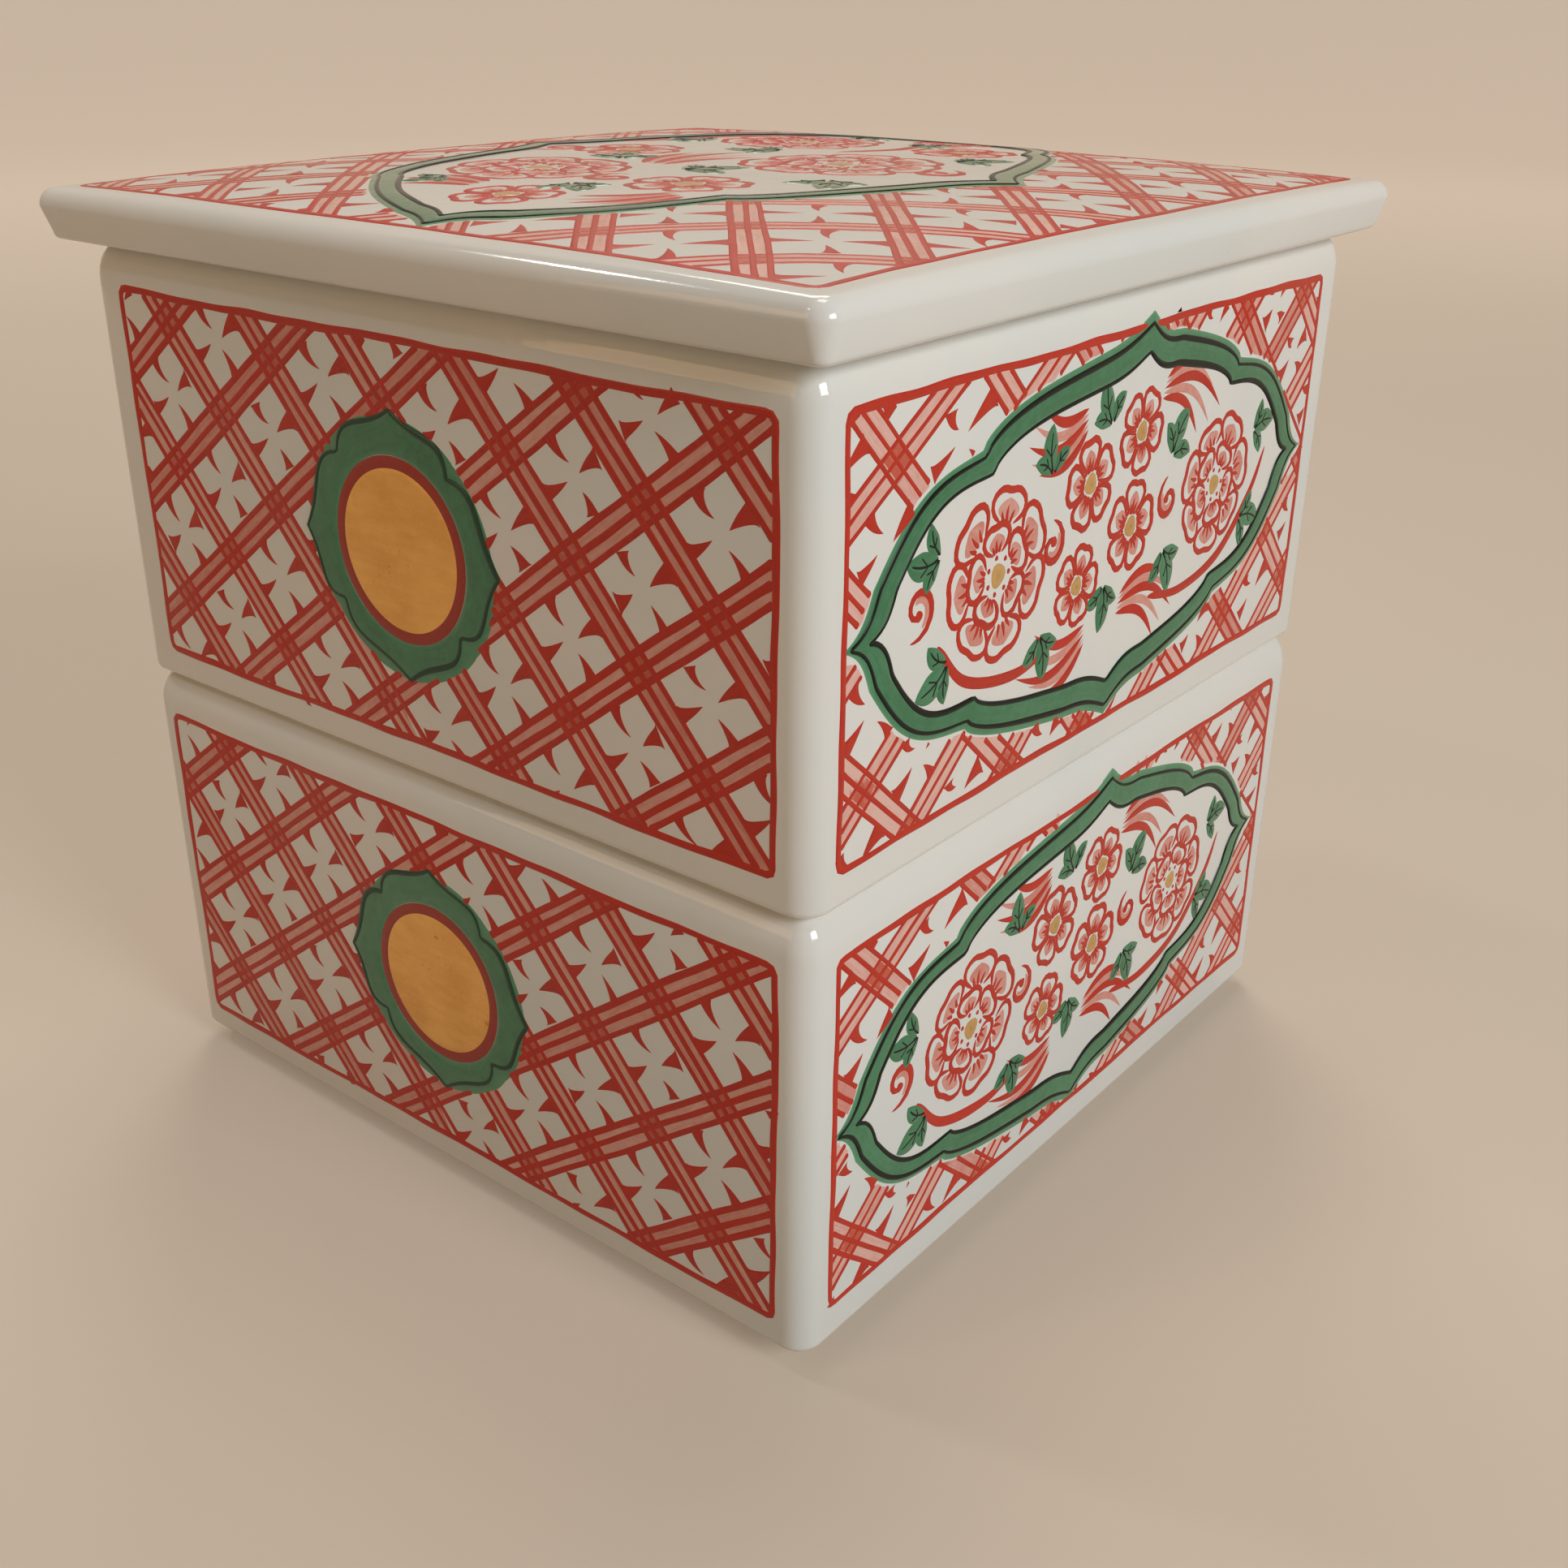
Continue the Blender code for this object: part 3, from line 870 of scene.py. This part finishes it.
def blossom(spray, x, y, radius, turn):
    """Five round petals about an ochre heart."""
    at = spray.at(x, y)
    pitch = 360 / BLOSSOM_PETALS
    for index in range(BLOSSOM_PETALS):
        petal(spray, at, turn + index * pitch, radius * 0.27, radius, 33, 0.11 * radius + 0.16)
    spray.hearts.dot(at, radius * 0.25, HEART_RISE)
    for index in range(BLOSSOM_PETALS):
        between = heading(turn + (index + 0.5) * pitch)
        spray.red.dot(at + between * radius * 0.36, 0.055 * radius, FLOWER_RISE)


def peony(spray, x, y, radius, turn):
    """Two rows of broad petals about a heart of small ones."""
    at = spray.at(x, y)
    width = 0.045 * radius + 0.30
    for count, inner, outer, half, offset in PEONY_ROWS:
        for index in range(count):
            lean = spray.panel.rng.uniform(*PEONY_LEAN)
            reach = radius * outer * spray.panel.rng.uniform(*PEONY_REACH)
            petal(spray, at, turn + offset + lean + index * 360 / count, radius * inner, reach, half, width)
    spray.hearts.dot(at, radius * 0.15, HEART_RISE)
    for index in range(PEONY_DOTS):
        around = heading(index * 360 / PEONY_DOTS)
        spray.red.dot(at + around * radius * 0.22, 0.035 * radius, FLOWER_RISE)


def lobed_leaf(spray, x, y, turn, length):
    """A leaf of three pointed lobes, each with a dark rib and two side veins."""
    base = spray.at(x, y)
    for side, share, bend in LEAF_LOBES:
        reach = length * share
        ahead, left = heading(turn + side), heading(turn + side + 90)
        start = base + ahead * reach * 0.08
        spray.leaves.dab(start, base + ahead * reach, reach * 0.52, LEAF_RISE, 0.5, bend)
        s = np.linspace(0.1, 0.88, 8)[:, None]
        rib = base + ahead * reach * s + left * reach * bend * np.sin(np.pi * s)
        spray.veins.brush(spaced(rib, 0.3), 0.36, VEIN_RISE, 0.6, 3.0)
        for flank in (-1, 1):
            root = base + ahead * reach * 0.4 + left * reach * bend
            end = root + heading(turn + side + flank * 40) * reach * 0.26
            spray.veins.brush(spaced(np.array((root, end)), 0.2), 0.26, VEIN_RISE, 0.5, 2.0)


def stem(spray, points, width):
    """A long curving line that swells along its way."""
    line = curve([spray.at(x, y) for x, y in points], 0.25)
    spray.red.brush(line, width, FLOWER_RISE, 2.0, 4.0, 0.8)


def scroll(spray, x, y, radius, turn, sweep, width):
    """A tendril that winds in to a round drop, over a pale wash."""
    s = np.linspace(0.0, 1.0, 40)
    reach = radius * (1 - 0.80 * s**0.75)
    angles = np.radians(turn + sweep * s)
    points = spray.at(x, y) + np.column_stack((np.cos(angles), np.sin(angles))) * reach[:, None]
    line = spaced(points, 0.25)
    spray.red.brush(line, width, FLOWER_RISE, 5.0, 0.6, 0.5)
    inner = spray.at(x, y) + (points - spray.at(x, y)) * (1 - 0.9 * width / reach)[:, None]
    spray.wash.brush(spaced(inner[4:24], 0.3), width * 1.1, PETAL_RISE, 2.0, 2.0)
    spray.red.dot(line[-1], width * 0.75, FLOWER_RISE)


def blades(spray, x, y, turn, length, width, bend):
    """Long bent leaves side by side from one root, by turns strong and pale."""
    base = spray.at(x, y)
    for index in range(BLADES):
        side = index - BLADES // 2
        enamel, rise = ((spray.red, FLOWER_RISE), (spray.wash, PETAL_RISE))[index % 2]
        start = base + heading(turn + 90) * side * width * 0.45
        reach = length * (1 - 0.11 * abs(side)) * spray.panel.rng.uniform(0.92, 1.06)
        enamel.dab(start, start + heading(turn + side * 7) * reach, width, rise, 0.42, bend)


def flower_spray(panel, layout):
    """A spray of peonies, blossom, leaves, long blades, stems and scrolling tendrils."""
    spray = Spray(panel, layout["middle"])
    for x, y, radius, turn in layout["peonies"]:
        peony(spray, x, y, radius, turn)
    for x, y, radius, turn in layout["blossoms"]:
        blossom(spray, x, y, radius, turn)
    for x, y, turn, length in layout["leaves"]:
        lobed_leaf(spray, x, y, turn, length)
    for x, y, turn, length, bend in layout["blades"]:
        blades(spray, x, y, turn, length, layout["blade_width"], bend)
    for points in layout["stems"]:
        stem(spray, points, layout["stem_width"])
    for x, y, radius, turn, sweep in layout["scrolls"]:
        scroll(spray, x, y, radius, turn, sweep, layout["scroll_width"])
    spray.build()


# Materials. Effects that several finishes share are node groups.


def group(name, inputs, outputs):
    """A shader node group, and its two ends. Inputs are names with values, and outputs are names."""
    tree = bpy.data.node_groups.new(name, "ShaderNodeTree")
    for title, value in inputs.items():
        kind = "NodeSocketColor" if isinstance(value, tuple) else "NodeSocketFloat"
        socket = tree.interface.new_socket(title, in_out="INPUT", socket_type=kind)
        socket.default_value = (*value, 1.0) if isinstance(value, tuple) else value
    for title in outputs:
        kind = "NodeSocketColor" if title == "Color" else "NodeSocketFloat"
        tree.interface.new_socket(title, in_out="OUTPUT", socket_type=kind)
    return tree, tree.nodes.new("NodeGroupInput"), tree.nodes.new("NodeGroupOutput")


def node(tree, kind, **settings):
    """A node; settings that name a socket set it, or link it where they hold another node's output."""
    made = tree.nodes.new(kind)
    for title, value in settings.items():
        if hasattr(made, title):
            setattr(made, title, value)
        else:
            connect(tree, made.inputs[title.replace("_", " ")], value)
    return made


def connect(tree, socket, value):
    if isinstance(value, bpy.types.NodeSocket):
        tree.links.new(value, socket)
    elif isinstance(value, tuple) and len(value) == 3 and socket.type == "RGBA":
        socket.default_value = (*value, 1.0)
    else:
        socket.default_value = value


def sums(tree, operation, first, second=None):
    made = tree.nodes.new("ShaderNodeMath")
    made.operation = operation
    connect(tree, made.inputs[0], first)
    if second is not None:
        connect(tree, made.inputs[1], second)
    return made.outputs[0]


def times(tree, first, second):
    return sums(tree, "MULTIPLY", first, second)


def plus(tree, first, second):
    return sums(tree, "ADD", first, second)


def vector_sums(tree, operation, first, second):
    made = node(tree, "ShaderNodeVectorMath", operation=operation)
    connect(tree, made.inputs[0], first)
    connect(tree, made.inputs[1], second)
    return made.outputs[0]


def ramped(tree, value, low, high, to_low=0.0, to_high=1.0):
    """The value carried smoothly from low..high to to_low..to_high."""
    made = tree.nodes.new("ShaderNodeMapRange")
    made.interpolation_type = "SMOOTHSTEP"
    for index, given in enumerate((value, low, high, to_low, to_high)):
        connect(tree, made.inputs[index], given)
    return made.outputs[0]


def blended(tree, share, first, second):
    """A colour part of the way from the first to the second."""
    made = tree.nodes.new("ShaderNodeMix")
    made.data_type = "RGBA"
    connect(tree, made.inputs[0], share)
    connect(tree, made.inputs[6], first)
    connect(tree, made.inputs[7], second)
    return made.outputs[2]


def noise(tree, vector, scale, detail=2.0, roughness=0.5):
    made = node(tree, "ShaderNodeTexNoise", Vector=vector, Scale=scale, Detail=detail, Roughness=roughness)
    return made.outputs["Fac"]


def swing(tree, vector, scale, detail=2.0, roughness=0.5):
    """Noise that goes as far below zero as above it."""
    return sums(tree, "SUBTRACT", noise(tree, vector, scale, detail, roughness), 0.5)


def place_on_object(tree):
    return tree.nodes.new("ShaderNodeTexCoord").outputs["Object"]


def glaze_skin():
    """Height: the slow ripple and fine orange peel of a fired surface. Haze: patches of softer gloss."""
    inputs = {"Ripple Scale": 70.0, "Peel Scale": 700.0, "Peel Amount": 0.2}
    tree, given, result = group("glaze_skin", inputs, ("Height", "Haze"))
    place = place_on_object(tree)
    ripple = noise(tree, place, given.outputs["Ripple Scale"], 1.0)
    peel = noise(tree, place, given.outputs["Peel Scale"], 2.0)
    peel = times(tree, peel, given.outputs["Peel Amount"])
    haze = noise(tree, place, 38.0, 3.0, 0.6)
    tree.links.new(plus(tree, ripple, peel), result.inputs["Height"])
    tree.links.new(ramped(tree, haze, 0.35, 0.72), result.inputs["Haze"])
    return tree


def kiln_specks():
    """The colour with a few small specks of iron in it, each with a soft edge."""
    inputs = {"Color": WHITE_GLAZE, "Speck Color": IRON_SPECK, "Spacing Scale": 90.0, "Size": 0.020}
    tree, given, result = group("kiln_specks", inputs, ("Color",))
    spacing = given.outputs["Spacing Scale"]
    cells = node(tree, "ShaderNodeTexVoronoi", Scale=spacing, Vector=place_on_object(tree))
    split = tree.nodes.new("ShaderNodeSeparateColor")
    tree.links.new(cells.outputs["Color"], split.inputs[0])
    chosen = sums(tree, "GREATER_THAN", split.outputs[0], 0.86)
    size = times(tree, given.outputs["Size"], plus(tree, split.outputs[1], 0.4))
    near = ramped(tree, cells.outputs["Distance"], 0.0, size, 1.0, 0.0)
    share = times(tree, times(tree, near, chosen), 0.7)
    found = blended(tree, share, given.outputs["Color"], given.outputs["Speck Color"])
    tree.links.new(found, result.inputs["Color"])
    return tree


def brushed_coat():
    """The colour of a brushed enamel: pale where it is thin, deep where it pools or lies double.

    It reads each stroke's own values: across it, how thick the coat is, and the brush's load.
    """
    inputs = {"Thin Color": WASH_PALE, "Thick Color": WASH_STRONG, "Pooling": 0.3, "Streaks": 0.4}
    inputs |= {"Coat Share": 0.6, "Base Share": 0.1}
    tree, given, result = group("brushed_coat", inputs, ("Color", "Thickness"))
    read = {}
    for title in ("across", "coat", "load"):
        read[title] = node(tree, "ShaderNodeAttribute", attribute_name=title).outputs["Fac"]
    place = place_on_object(tree)
    along = vector_sums(tree, "MULTIPLY", place, (70.0, 70.0, 70.0))
    hairs = (times(tree, read["across"], 3.2), times(tree, read["load"], 5.0))
    bristle = node(tree, "ShaderNodeCombineXYZ", X=hairs[0], Y=hairs[1]).outputs[0]
    streak = swing(tree, vector_sums(tree, "ADD", along, bristle), 1.6, 3.0, 0.6)
    mottle = swing(tree, place, 900.0)
    rim = sums(tree, "POWER", sums(tree, "ABSOLUTE", read["across"]), 3.0)
    tone = times(tree, read["coat"], given.outputs["Coat Share"])
    tone = plus(tree, tone, given.outputs["Base Share"])
    tone = plus(tree, tone, times(tree, rim, given.outputs["Pooling"]))
    tone = plus(tree, tone, times(tree, streak, given.outputs["Streaks"]))
    tone = plus(tree, tone, times(tree, mottle, 0.35))
    tone = plus(tree, tone, times(tree, sums(tree, "SUBTRACT", read["load"], 0.5), 0.25))
    tone = node(tree, "ShaderNodeClamp", Value=tone).outputs[0]
    found = blended(tree, tone, given.outputs["Thin Color"], given.outputs["Thick Color"])
    tree.links.new(found, result.inputs["Color"])
    tree.links.new(tone, result.inputs["Thickness"])
    return tree


def fine_scratches():
    """A mask of short hair scratches from wiping and stacking."""
    inputs = {"Scratch Scale": 240.0, "Amount": 0.5}
    tree, given, result = group("fine_scratches", inputs, ("Mask",))
    place = place_on_object(tree)
    found = None
    for stretch in ((1.0, 9.0, 1.2), (7.0, 1.0, 8.0)):
        pulled = vector_sums(tree, "MULTIPLY", place, stretch)
        hairs = ramped(tree, noise(tree, pulled, given.outputs["Scratch Scale"], 1.0), 0.68, 0.74)
        found = hairs if found is None else sums(tree, "MAXIMUM", found, hairs)
    patch = ramped(tree, noise(tree, place, 60.0, 2.0), 0.5, 0.7)
    found = times(tree, times(tree, found, patch), given.outputs["Amount"])
    tree.links.new(found, result.inputs["Mask"])
    return tree


def finish_material(name, ior=1.5, coat=0.0, metallic=0.0):
    material = bpy.data.materials.new(name)
    material.use_nodes = True
    tree = material.node_tree
    shader = tree.nodes["Principled BSDF"]
    shader.inputs["IOR"].default_value = ior
    shader.inputs["Metallic"].default_value = metallic
    shader.inputs["Coat Weight"].default_value = coat
    shader.inputs["Coat Roughness"].default_value = COAT_ROUGHNESS
    return material, tree, shader


def placed(tree, name, **values):
    """One of the shared groups in a material, with its own values. Gives what it puts out."""
    return node(tree, "ShaderNodeGroup", node_tree=GROUPS[name], **values).outputs


def bumped(tree, shader, height, distance, strength=1.0):
    bump = tree.nodes.new("ShaderNodeBump")
    bump.inputs["Strength"].default_value = strength
    bump.inputs["Distance"].default_value = distance
    tree.links.new(height, bump.inputs["Height"])
    tree.links.new(bump.outputs["Normal"], shader.inputs["Normal"])


def porcelain(name, bare_below):
    """Glazed white porcelain, bare under the foot or flange, below the given height."""
    material, tree, shader = finish_material(name)
    place = place_on_object(tree)
    split = tree.nodes.new("ShaderNodeSeparateXYZ")
    tree.links.new(place, split.inputs[0])
    ragged = times(tree, swing(tree, place, 260.0, 3.0), GLAZE_RAGGED)
    height = plus(tree, split.outputs["Z"], ragged)
    bare = ramped(tree, height, bare_below, bare_below + GLAZE_EDGE, 1.0, 0.0)
    blush = ramped(tree, height, bare_below + BLUSH_FROM, bare_below + BLUSH_TO, 1.0, 0.0)
    tone = ramped(tree, noise(tree, place, 22.0, 3.0, 0.55), 0.35, 0.7)
    colour = blended(tree, tone, WHITE_GLAZE, WHITE_GLAZE_COOL)
    specks = placed(tree, "kiln_specks", Color=colour, Speck_Color=IRON_SPECK)
    colour = blended(tree, times(tree, blush, 0.35), specks["Color"], CLAY_BLUSH)
    grain = noise(tree, place, 2600.0, 3.0, 0.7)
    clay = blended(tree, grain, BARE_CLAY, BARE_CLAY_DARK)
    tree.links.new(blended(tree, bare, colour, clay), shader.inputs["Base Color"])
    skin = placed(tree, "glaze_skin", Ripple_Scale=75.0, Peel_Scale=620.0, Peel_Amount=0.10)
    hairs = placed(tree, "fine_scratches", Scratch_Scale=260.0, Amount=0.35)
    gloss = ramped(tree, skin["Haze"], 0.0, 1.0, *GLAZE_ROUGHNESS)
    gloss = plus(tree, gloss, times(tree, hairs["Mask"], 0.25))
    gloss = plus(tree, gloss, times(tree, bare, 0.55))
    tree.links.new(gloss, shader.inputs["Roughness"])
    rough = times(tree, times(tree, grain, bare), 0.25)
    bumped(tree, shader, plus(tree, skin["Height"], rough), GLAZE_RELIEF, 0.6)
    return material


def enamel(
    name, thin, thick, rough, ior, pooling, streaks, coat_share, base_share, coat=0.0, relief=ENAMEL_RELIEF
):
    """A fired enamel: thin to thick colour, soft or glassy gloss, and a little unevenness."""
    material, tree, shader = finish_material(name, ior, coat)
    coats = placed(
        tree, "brushed_coat", Thin_Color=thin, Thick_Color=thick, Pooling=pooling,
        Streaks=streaks, Coat_Share=coat_share, Base_Share=base_share,
    )
    tree.links.new(coats["Color"], shader.inputs["Base Color"])
    skin = placed(tree, "glaze_skin", Ripple_Scale=260.0, Peel_Scale=1900.0, Peel_Amount=0.4)
    gloss = ramped(tree, skin["Haze"], 0.0, 1.0, rough * 0.75, rough * 1.35)
    gloss = sums(tree, "SUBTRACT", gloss, times(tree, coats["Thickness"], rough * 0.2))
    tree.links.new(gloss, shader.inputs["Roughness"])
    bumped(tree, shader, skin["Height"], relief)
    return material


def rubbed_gold():
    """Fired gold, satin, with brush streaks and thin places where the red under it shows."""
    material, tree, shader = finish_material("gold", metallic=0.9)
    place = place_on_object(tree)
    pulled = vector_sums(tree, "MULTIPLY", place, (1.0, 1.0, 5.0))
    streak = noise(tree, pulled, 220.0, 3.0, 0.6)
    patch = noise(tree, place, 150.0, 4.0, 0.6)
    worn = plus(tree, times(tree, streak, 0.4), times(tree, patch, 0.6))
    tone = ramped(tree, worn, 0.3, 0.7)
    colour = blended(tree, tone, GOLD_DEEP, GOLD_LIGHT)
    coats = placed(
        tree, "brushed_coat", Thin_Color=colour, Thick_Color=GOLD_DEEP, Pooling=0.2, Coat_Share=0.1,
    )
    hairs = placed(tree, "fine_scratches", Scratch_Scale=700.0, Amount=0.5)
    colour = blended(tree, hairs["Mask"], coats["Color"], RING_RED)
    tree.links.new(colour, shader.inputs["Base Color"])
    gloss = ramped(tree, patch, 0.3, 0.7, *GOLD_ROUGHNESS)
    gloss = plus(tree, gloss, times(tree, hairs["Mask"], 0.2))
    tree.links.new(gloss, shader.inputs["Roughness"])
    skin = placed(tree, "glaze_skin", Ripple_Scale=180.0, Peel_Scale=2400.0, Peel_Amount=0.5)
    relief = plus(tree, skin["Height"], times(tree, streak, 0.5))
    bumped(tree, shader, relief, GOLD_RELIEF)
    return material


GROUPS = {
    "glaze_skin": glaze_skin(),
    "kiln_specks": kiln_specks(),
    "brushed_coat": brushed_coat(),
    "fine_scratches": fine_scratches(),
}
MATERIALS = {
    "red_enamel": enamel(
        "red_enamel", RED_BRIGHT, RED_DEEP, rough=0.40, ior=1.36,
        pooling=0.25, streaks=0.8, coat_share=0.0, base_share=0.35,
    ),
    "pink_wash": enamel(
        "pink_wash", WASH_PALE, WASH_STRONG, rough=0.30, ior=1.40,
        pooling=0.10, streaks=0.7, coat_share=0.55, base_share=-0.05,
    ),
    "ring_red": enamel(
        "ring_red", RED_DEEP, RING_RED, rough=0.34, ior=1.40,
        pooling=0.2, streaks=0.6, coat_share=0.3, base_share=0.2,
    ),
    "green_enamel": enamel(
        "green_enamel", GREEN_THIN, GREEN_THICK, rough=0.12, ior=1.45, coat=0.2, relief=GREEN_RELIEF,
        pooling=0.0, streaks=0.5, coat_share=0.75, base_share=0.1,
    ),
    "black_enamel": enamel(
        "black_enamel", LINE_SOFT, LINE_BLACK, rough=0.28, ior=1.25,
        pooling=0.3, streaks=0.6, coat_share=0.3, base_share=0.4,
    ),
    "green_line": enamel(
        "green_line", LINE_GREEN_SOFT, LINE_GREEN, rough=0.20, ior=1.35,
        pooling=0.3, streaks=0.6, coat_share=0.3, base_share=0.3,
    ),
    "ochre_enamel": enamel(
        "ochre_enamel", OCHRE_PALE, OCHRE_DEEP, rough=0.2, ior=1.5,
        pooling=0.5, streaks=0.6, coat_share=0.0, base_share=0.3,
    ),
    "gold": rubbed_gold(),
}


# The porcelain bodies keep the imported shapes. Their facets are shaded as one smooth surface.


def smooth_facets():
    """A geometry node group that joins a solid's facets and shades them smooth."""
    tree = bpy.data.node_groups.new("smooth_facets", "GeometryNodeTree")
    tree.interface.new_socket("Geometry", in_out="INPUT", socket_type="NodeSocketGeometry")
    tree.interface.new_socket("Geometry", in_out="OUTPUT", socket_type="NodeSocketGeometry")
    given = tree.nodes.new("NodeGroupInput")
    merge = tree.nodes.new("GeometryNodeMergeByDistance")
    merge.inputs["Distance"].default_value = FACET_GAP
    plain = tree.nodes.new("GeometryNodeSetMeshNormal")
    plain.mode = "SHARPNESS"
    plain.inputs["Remove Custom"].default_value = True
    plain.inputs["Edge Sharpness"].default_value = False
    plain.inputs["Face Sharpness"].default_value = False
    result = tree.nodes.new("NodeGroupOutput")
    tree.links.new(given.outputs[0], merge.inputs["Geometry"])
    tree.links.new(merge.outputs[0], plain.inputs["Mesh"])
    tree.links.new(plain.outputs[0], result.inputs[0])
    return tree


def glaze_bodies():
    smoothing = smooth_facets()
    for name in ("lower_box", "upper_box", "lid"):
        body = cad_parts[name]
        bare_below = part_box(name)[0].z + BARE_HEIGHT
        body.material_slots[0].material = porcelain(f"{name}_porcelain", bare_below)
        body.modifiers.new("smooth_facets", "NODES").node_group = smoothing


# The painted faces.


def paint_medallion_face(panel):
    """A round medallion in a lattice, on a side."""
    medallion(panel)
    centre = np.array(MEDALLION_AT)

    def outside(points):
        return np.linalg.norm(points - centre, axis=1) - BLEED_RADIUS

    sizes = (MEDALLION_GAP, MEDALLION_FACE_LINE, MEDALLION_FACE_WASH)
    lattice(panel, FRONT_RISING, FRONT_FALLING, outside, *sizes)


def paint_lobed_face(panel, lobes, swells, rising, falling, line_width, wash, spray):
    """A lobed panel of flowers in a lattice, on a side or on the lid."""
    outline = lobed_band(panel, lobes, panel_swells(*swells))

    def outside(points):
        return distance_outside(outline, points)

    lattice(panel, rising, falling, outside, PANEL_GAP, line_width, wash)
    flower_spray(panel, spray)


def paint_all():
    sides = (("front", 0), ("right", 90), ("back", 180), ("left", 270))
    for tier, body in enumerate(("lower_box", "upper_box")):
        for index, (side, turn) in enumerate(sides):
            seed = FIRST_SEED + tier * TIER_SEEDS + index
            if side in ("front", "back"):
                paint_medallion_face(Side(side, body, turn, MEDALLION_FIELDS[body], seed))
            else:
                paint_lobed_face(Side(side, body, turn, LOBED_FIELDS[body], seed), *SIDE_PAINT)
    paint_lobed_face(LidTop("lid_top", "lid", LID_SEED), *LID_PAINT)


# Studio.


def floor_and_backdrop():
    """A pale floor that turns up into a round backdrop. Both glow a little where they are seen."""
    profile = [(0.0, 0.0), (FLOOR_FLAT, 0.0), (FLOOR_RADIUS, 0.0)]
    for step in range(1, COVE_STEPS + 1):
        angle = math.radians(90 * step / COVE_STEPS)
        out, up = COVE_RADIUS * math.sin(angle), COVE_RADIUS - COVE_RADIUS * math.cos(angle)
        profile.append((FLOOR_RADIUS + out, up))
    profile.append((FLOOR_RADIUS + COVE_RADIUS, BACKDROP_HEIGHT))
    count = BACKDROP_SIDES
    points = []
    for radius, height in profile:
        for index in range(count):
            angle = 2 * math.pi * index / count
            points.append((radius * math.cos(angle), radius * math.sin(angle), height))
    faces = []
    for ring in range(len(profile) - 1):
        for index in range(count):
            after = (index + 1) % count
            here, above = ring * count, (ring + 1) * count
            faces.append((here + index, above + index, above + after, here + after))
    mesh = bpy.data.meshes.new("floor")
    mesh.from_pydata(points, [], faces)
    mesh.shade_smooth()
    material, tree, shader = finish_material("floor_paper")
    place = place_on_object(tree)
    tone = noise(tree, place, 3.0, 3.0)
    tree.links.new(blended(tree, tone, FLOOR_PALE, FLOOR_PALE_DARK), shader.inputs["Base Color"])
    shader.inputs["Roughness"].default_value = 0.7
    rays = tree.nodes.new("ShaderNodeLightPath").outputs
    seen = sums(tree, "MAXIMUM", rays["Is Camera Ray"], rays["Is Glossy Ray"])
    seen = sums(tree, "MAXIMUM", seen, rays["Is Transmission Ray"])
    away = node(tree, "ShaderNodeVectorMath", operation="LENGTH")
    tree.links.new(place, away.inputs[0])
    glow = ramped(tree, away.outputs["Value"], 0.35, 1.2, FLOOR_GLOW_AMOUNT, BACKDROP_GLOW_AMOUNT)
    tree.links.new(times(tree, seen, glow), shader.inputs["Emission Strength"])
    shader.inputs["Emission Color"].default_value = (*BACKDROP_GLOW, 1.0)
    mesh.materials.append(material)
    floor = bpy.data.objects.new("floor", mesh)
    bpy.context.scene.collection.objects.link(floor)


def lamp(name, place, size, power, colour):
    """A rectangular lamp that faces the box."""
    light = bpy.data.lights.new(name, "AREA")
    light.shape = "RECTANGLE"
    light.size, light.size_y = size
    light.energy = power
    light.color = colour
    holder = bpy.data.objects.new(name, light)
    holder.location = place
    holder.rotation_euler = (Vector(LAMP_TARGET) - Vector(place)).to_track_quat("-Z", "Y").to_euler()
    bpy.context.scene.collection.objects.link(holder)


def lights():
    for name, (place, size, power, colour) in LAMPS.items():
        lamp(name, place, size, power, colour)
    world = bpy.data.worlds.new("studio")
    bpy.context.scene.world = world
    world.use_nodes = True
    background = world.node_tree.nodes["Background"]
    background.inputs["Color"].default_value = (*ROOM_LIGHT, 1.0)
    background.inputs["Strength"].default_value = ROOM_LIGHT_AMOUNT


def camera():
    """The camera where the photograph was taken from, rolled a little."""
    turn, dip, roll = (math.radians(angle) for angle in (CAMERA_TURN, CAMERA_DIP, CAMERA_ROLL))
    right = Vector((math.cos(turn), math.sin(turn), 0.0))
    ahead = Vector((-math.sin(turn) * math.cos(dip), math.cos(turn) * math.cos(dip), -math.sin(dip)))
    up = right.cross(ahead)
    across = right * math.cos(roll) + up * math.sin(roll)
    upward = up * math.cos(roll) - right * math.sin(roll)
    axes = Matrix((across, upward, -ahead)).transposed()
    data = bpy.data.cameras.new("camera")
    data.sensor_width = CAMERA_SENSOR
    data.lens = CAMERA_LENS
    data.clip_start = 0.01
    holder = bpy.data.objects.new("camera", data)
    holder.matrix_world = Matrix.Translation(CAMERA_PLACE) @ axes.to_4x4()
    bpy.context.scene.collection.objects.link(holder)
    bpy.context.scene.camera = holder


def write_sizes():
    bpy.context.view_layer.update()


camera()
glaze_bodies()
paint_all()
floor_and_backdrop()
lights()
bpy.context.scene.view_settings.view_transform = "Standard"
write_sizes()
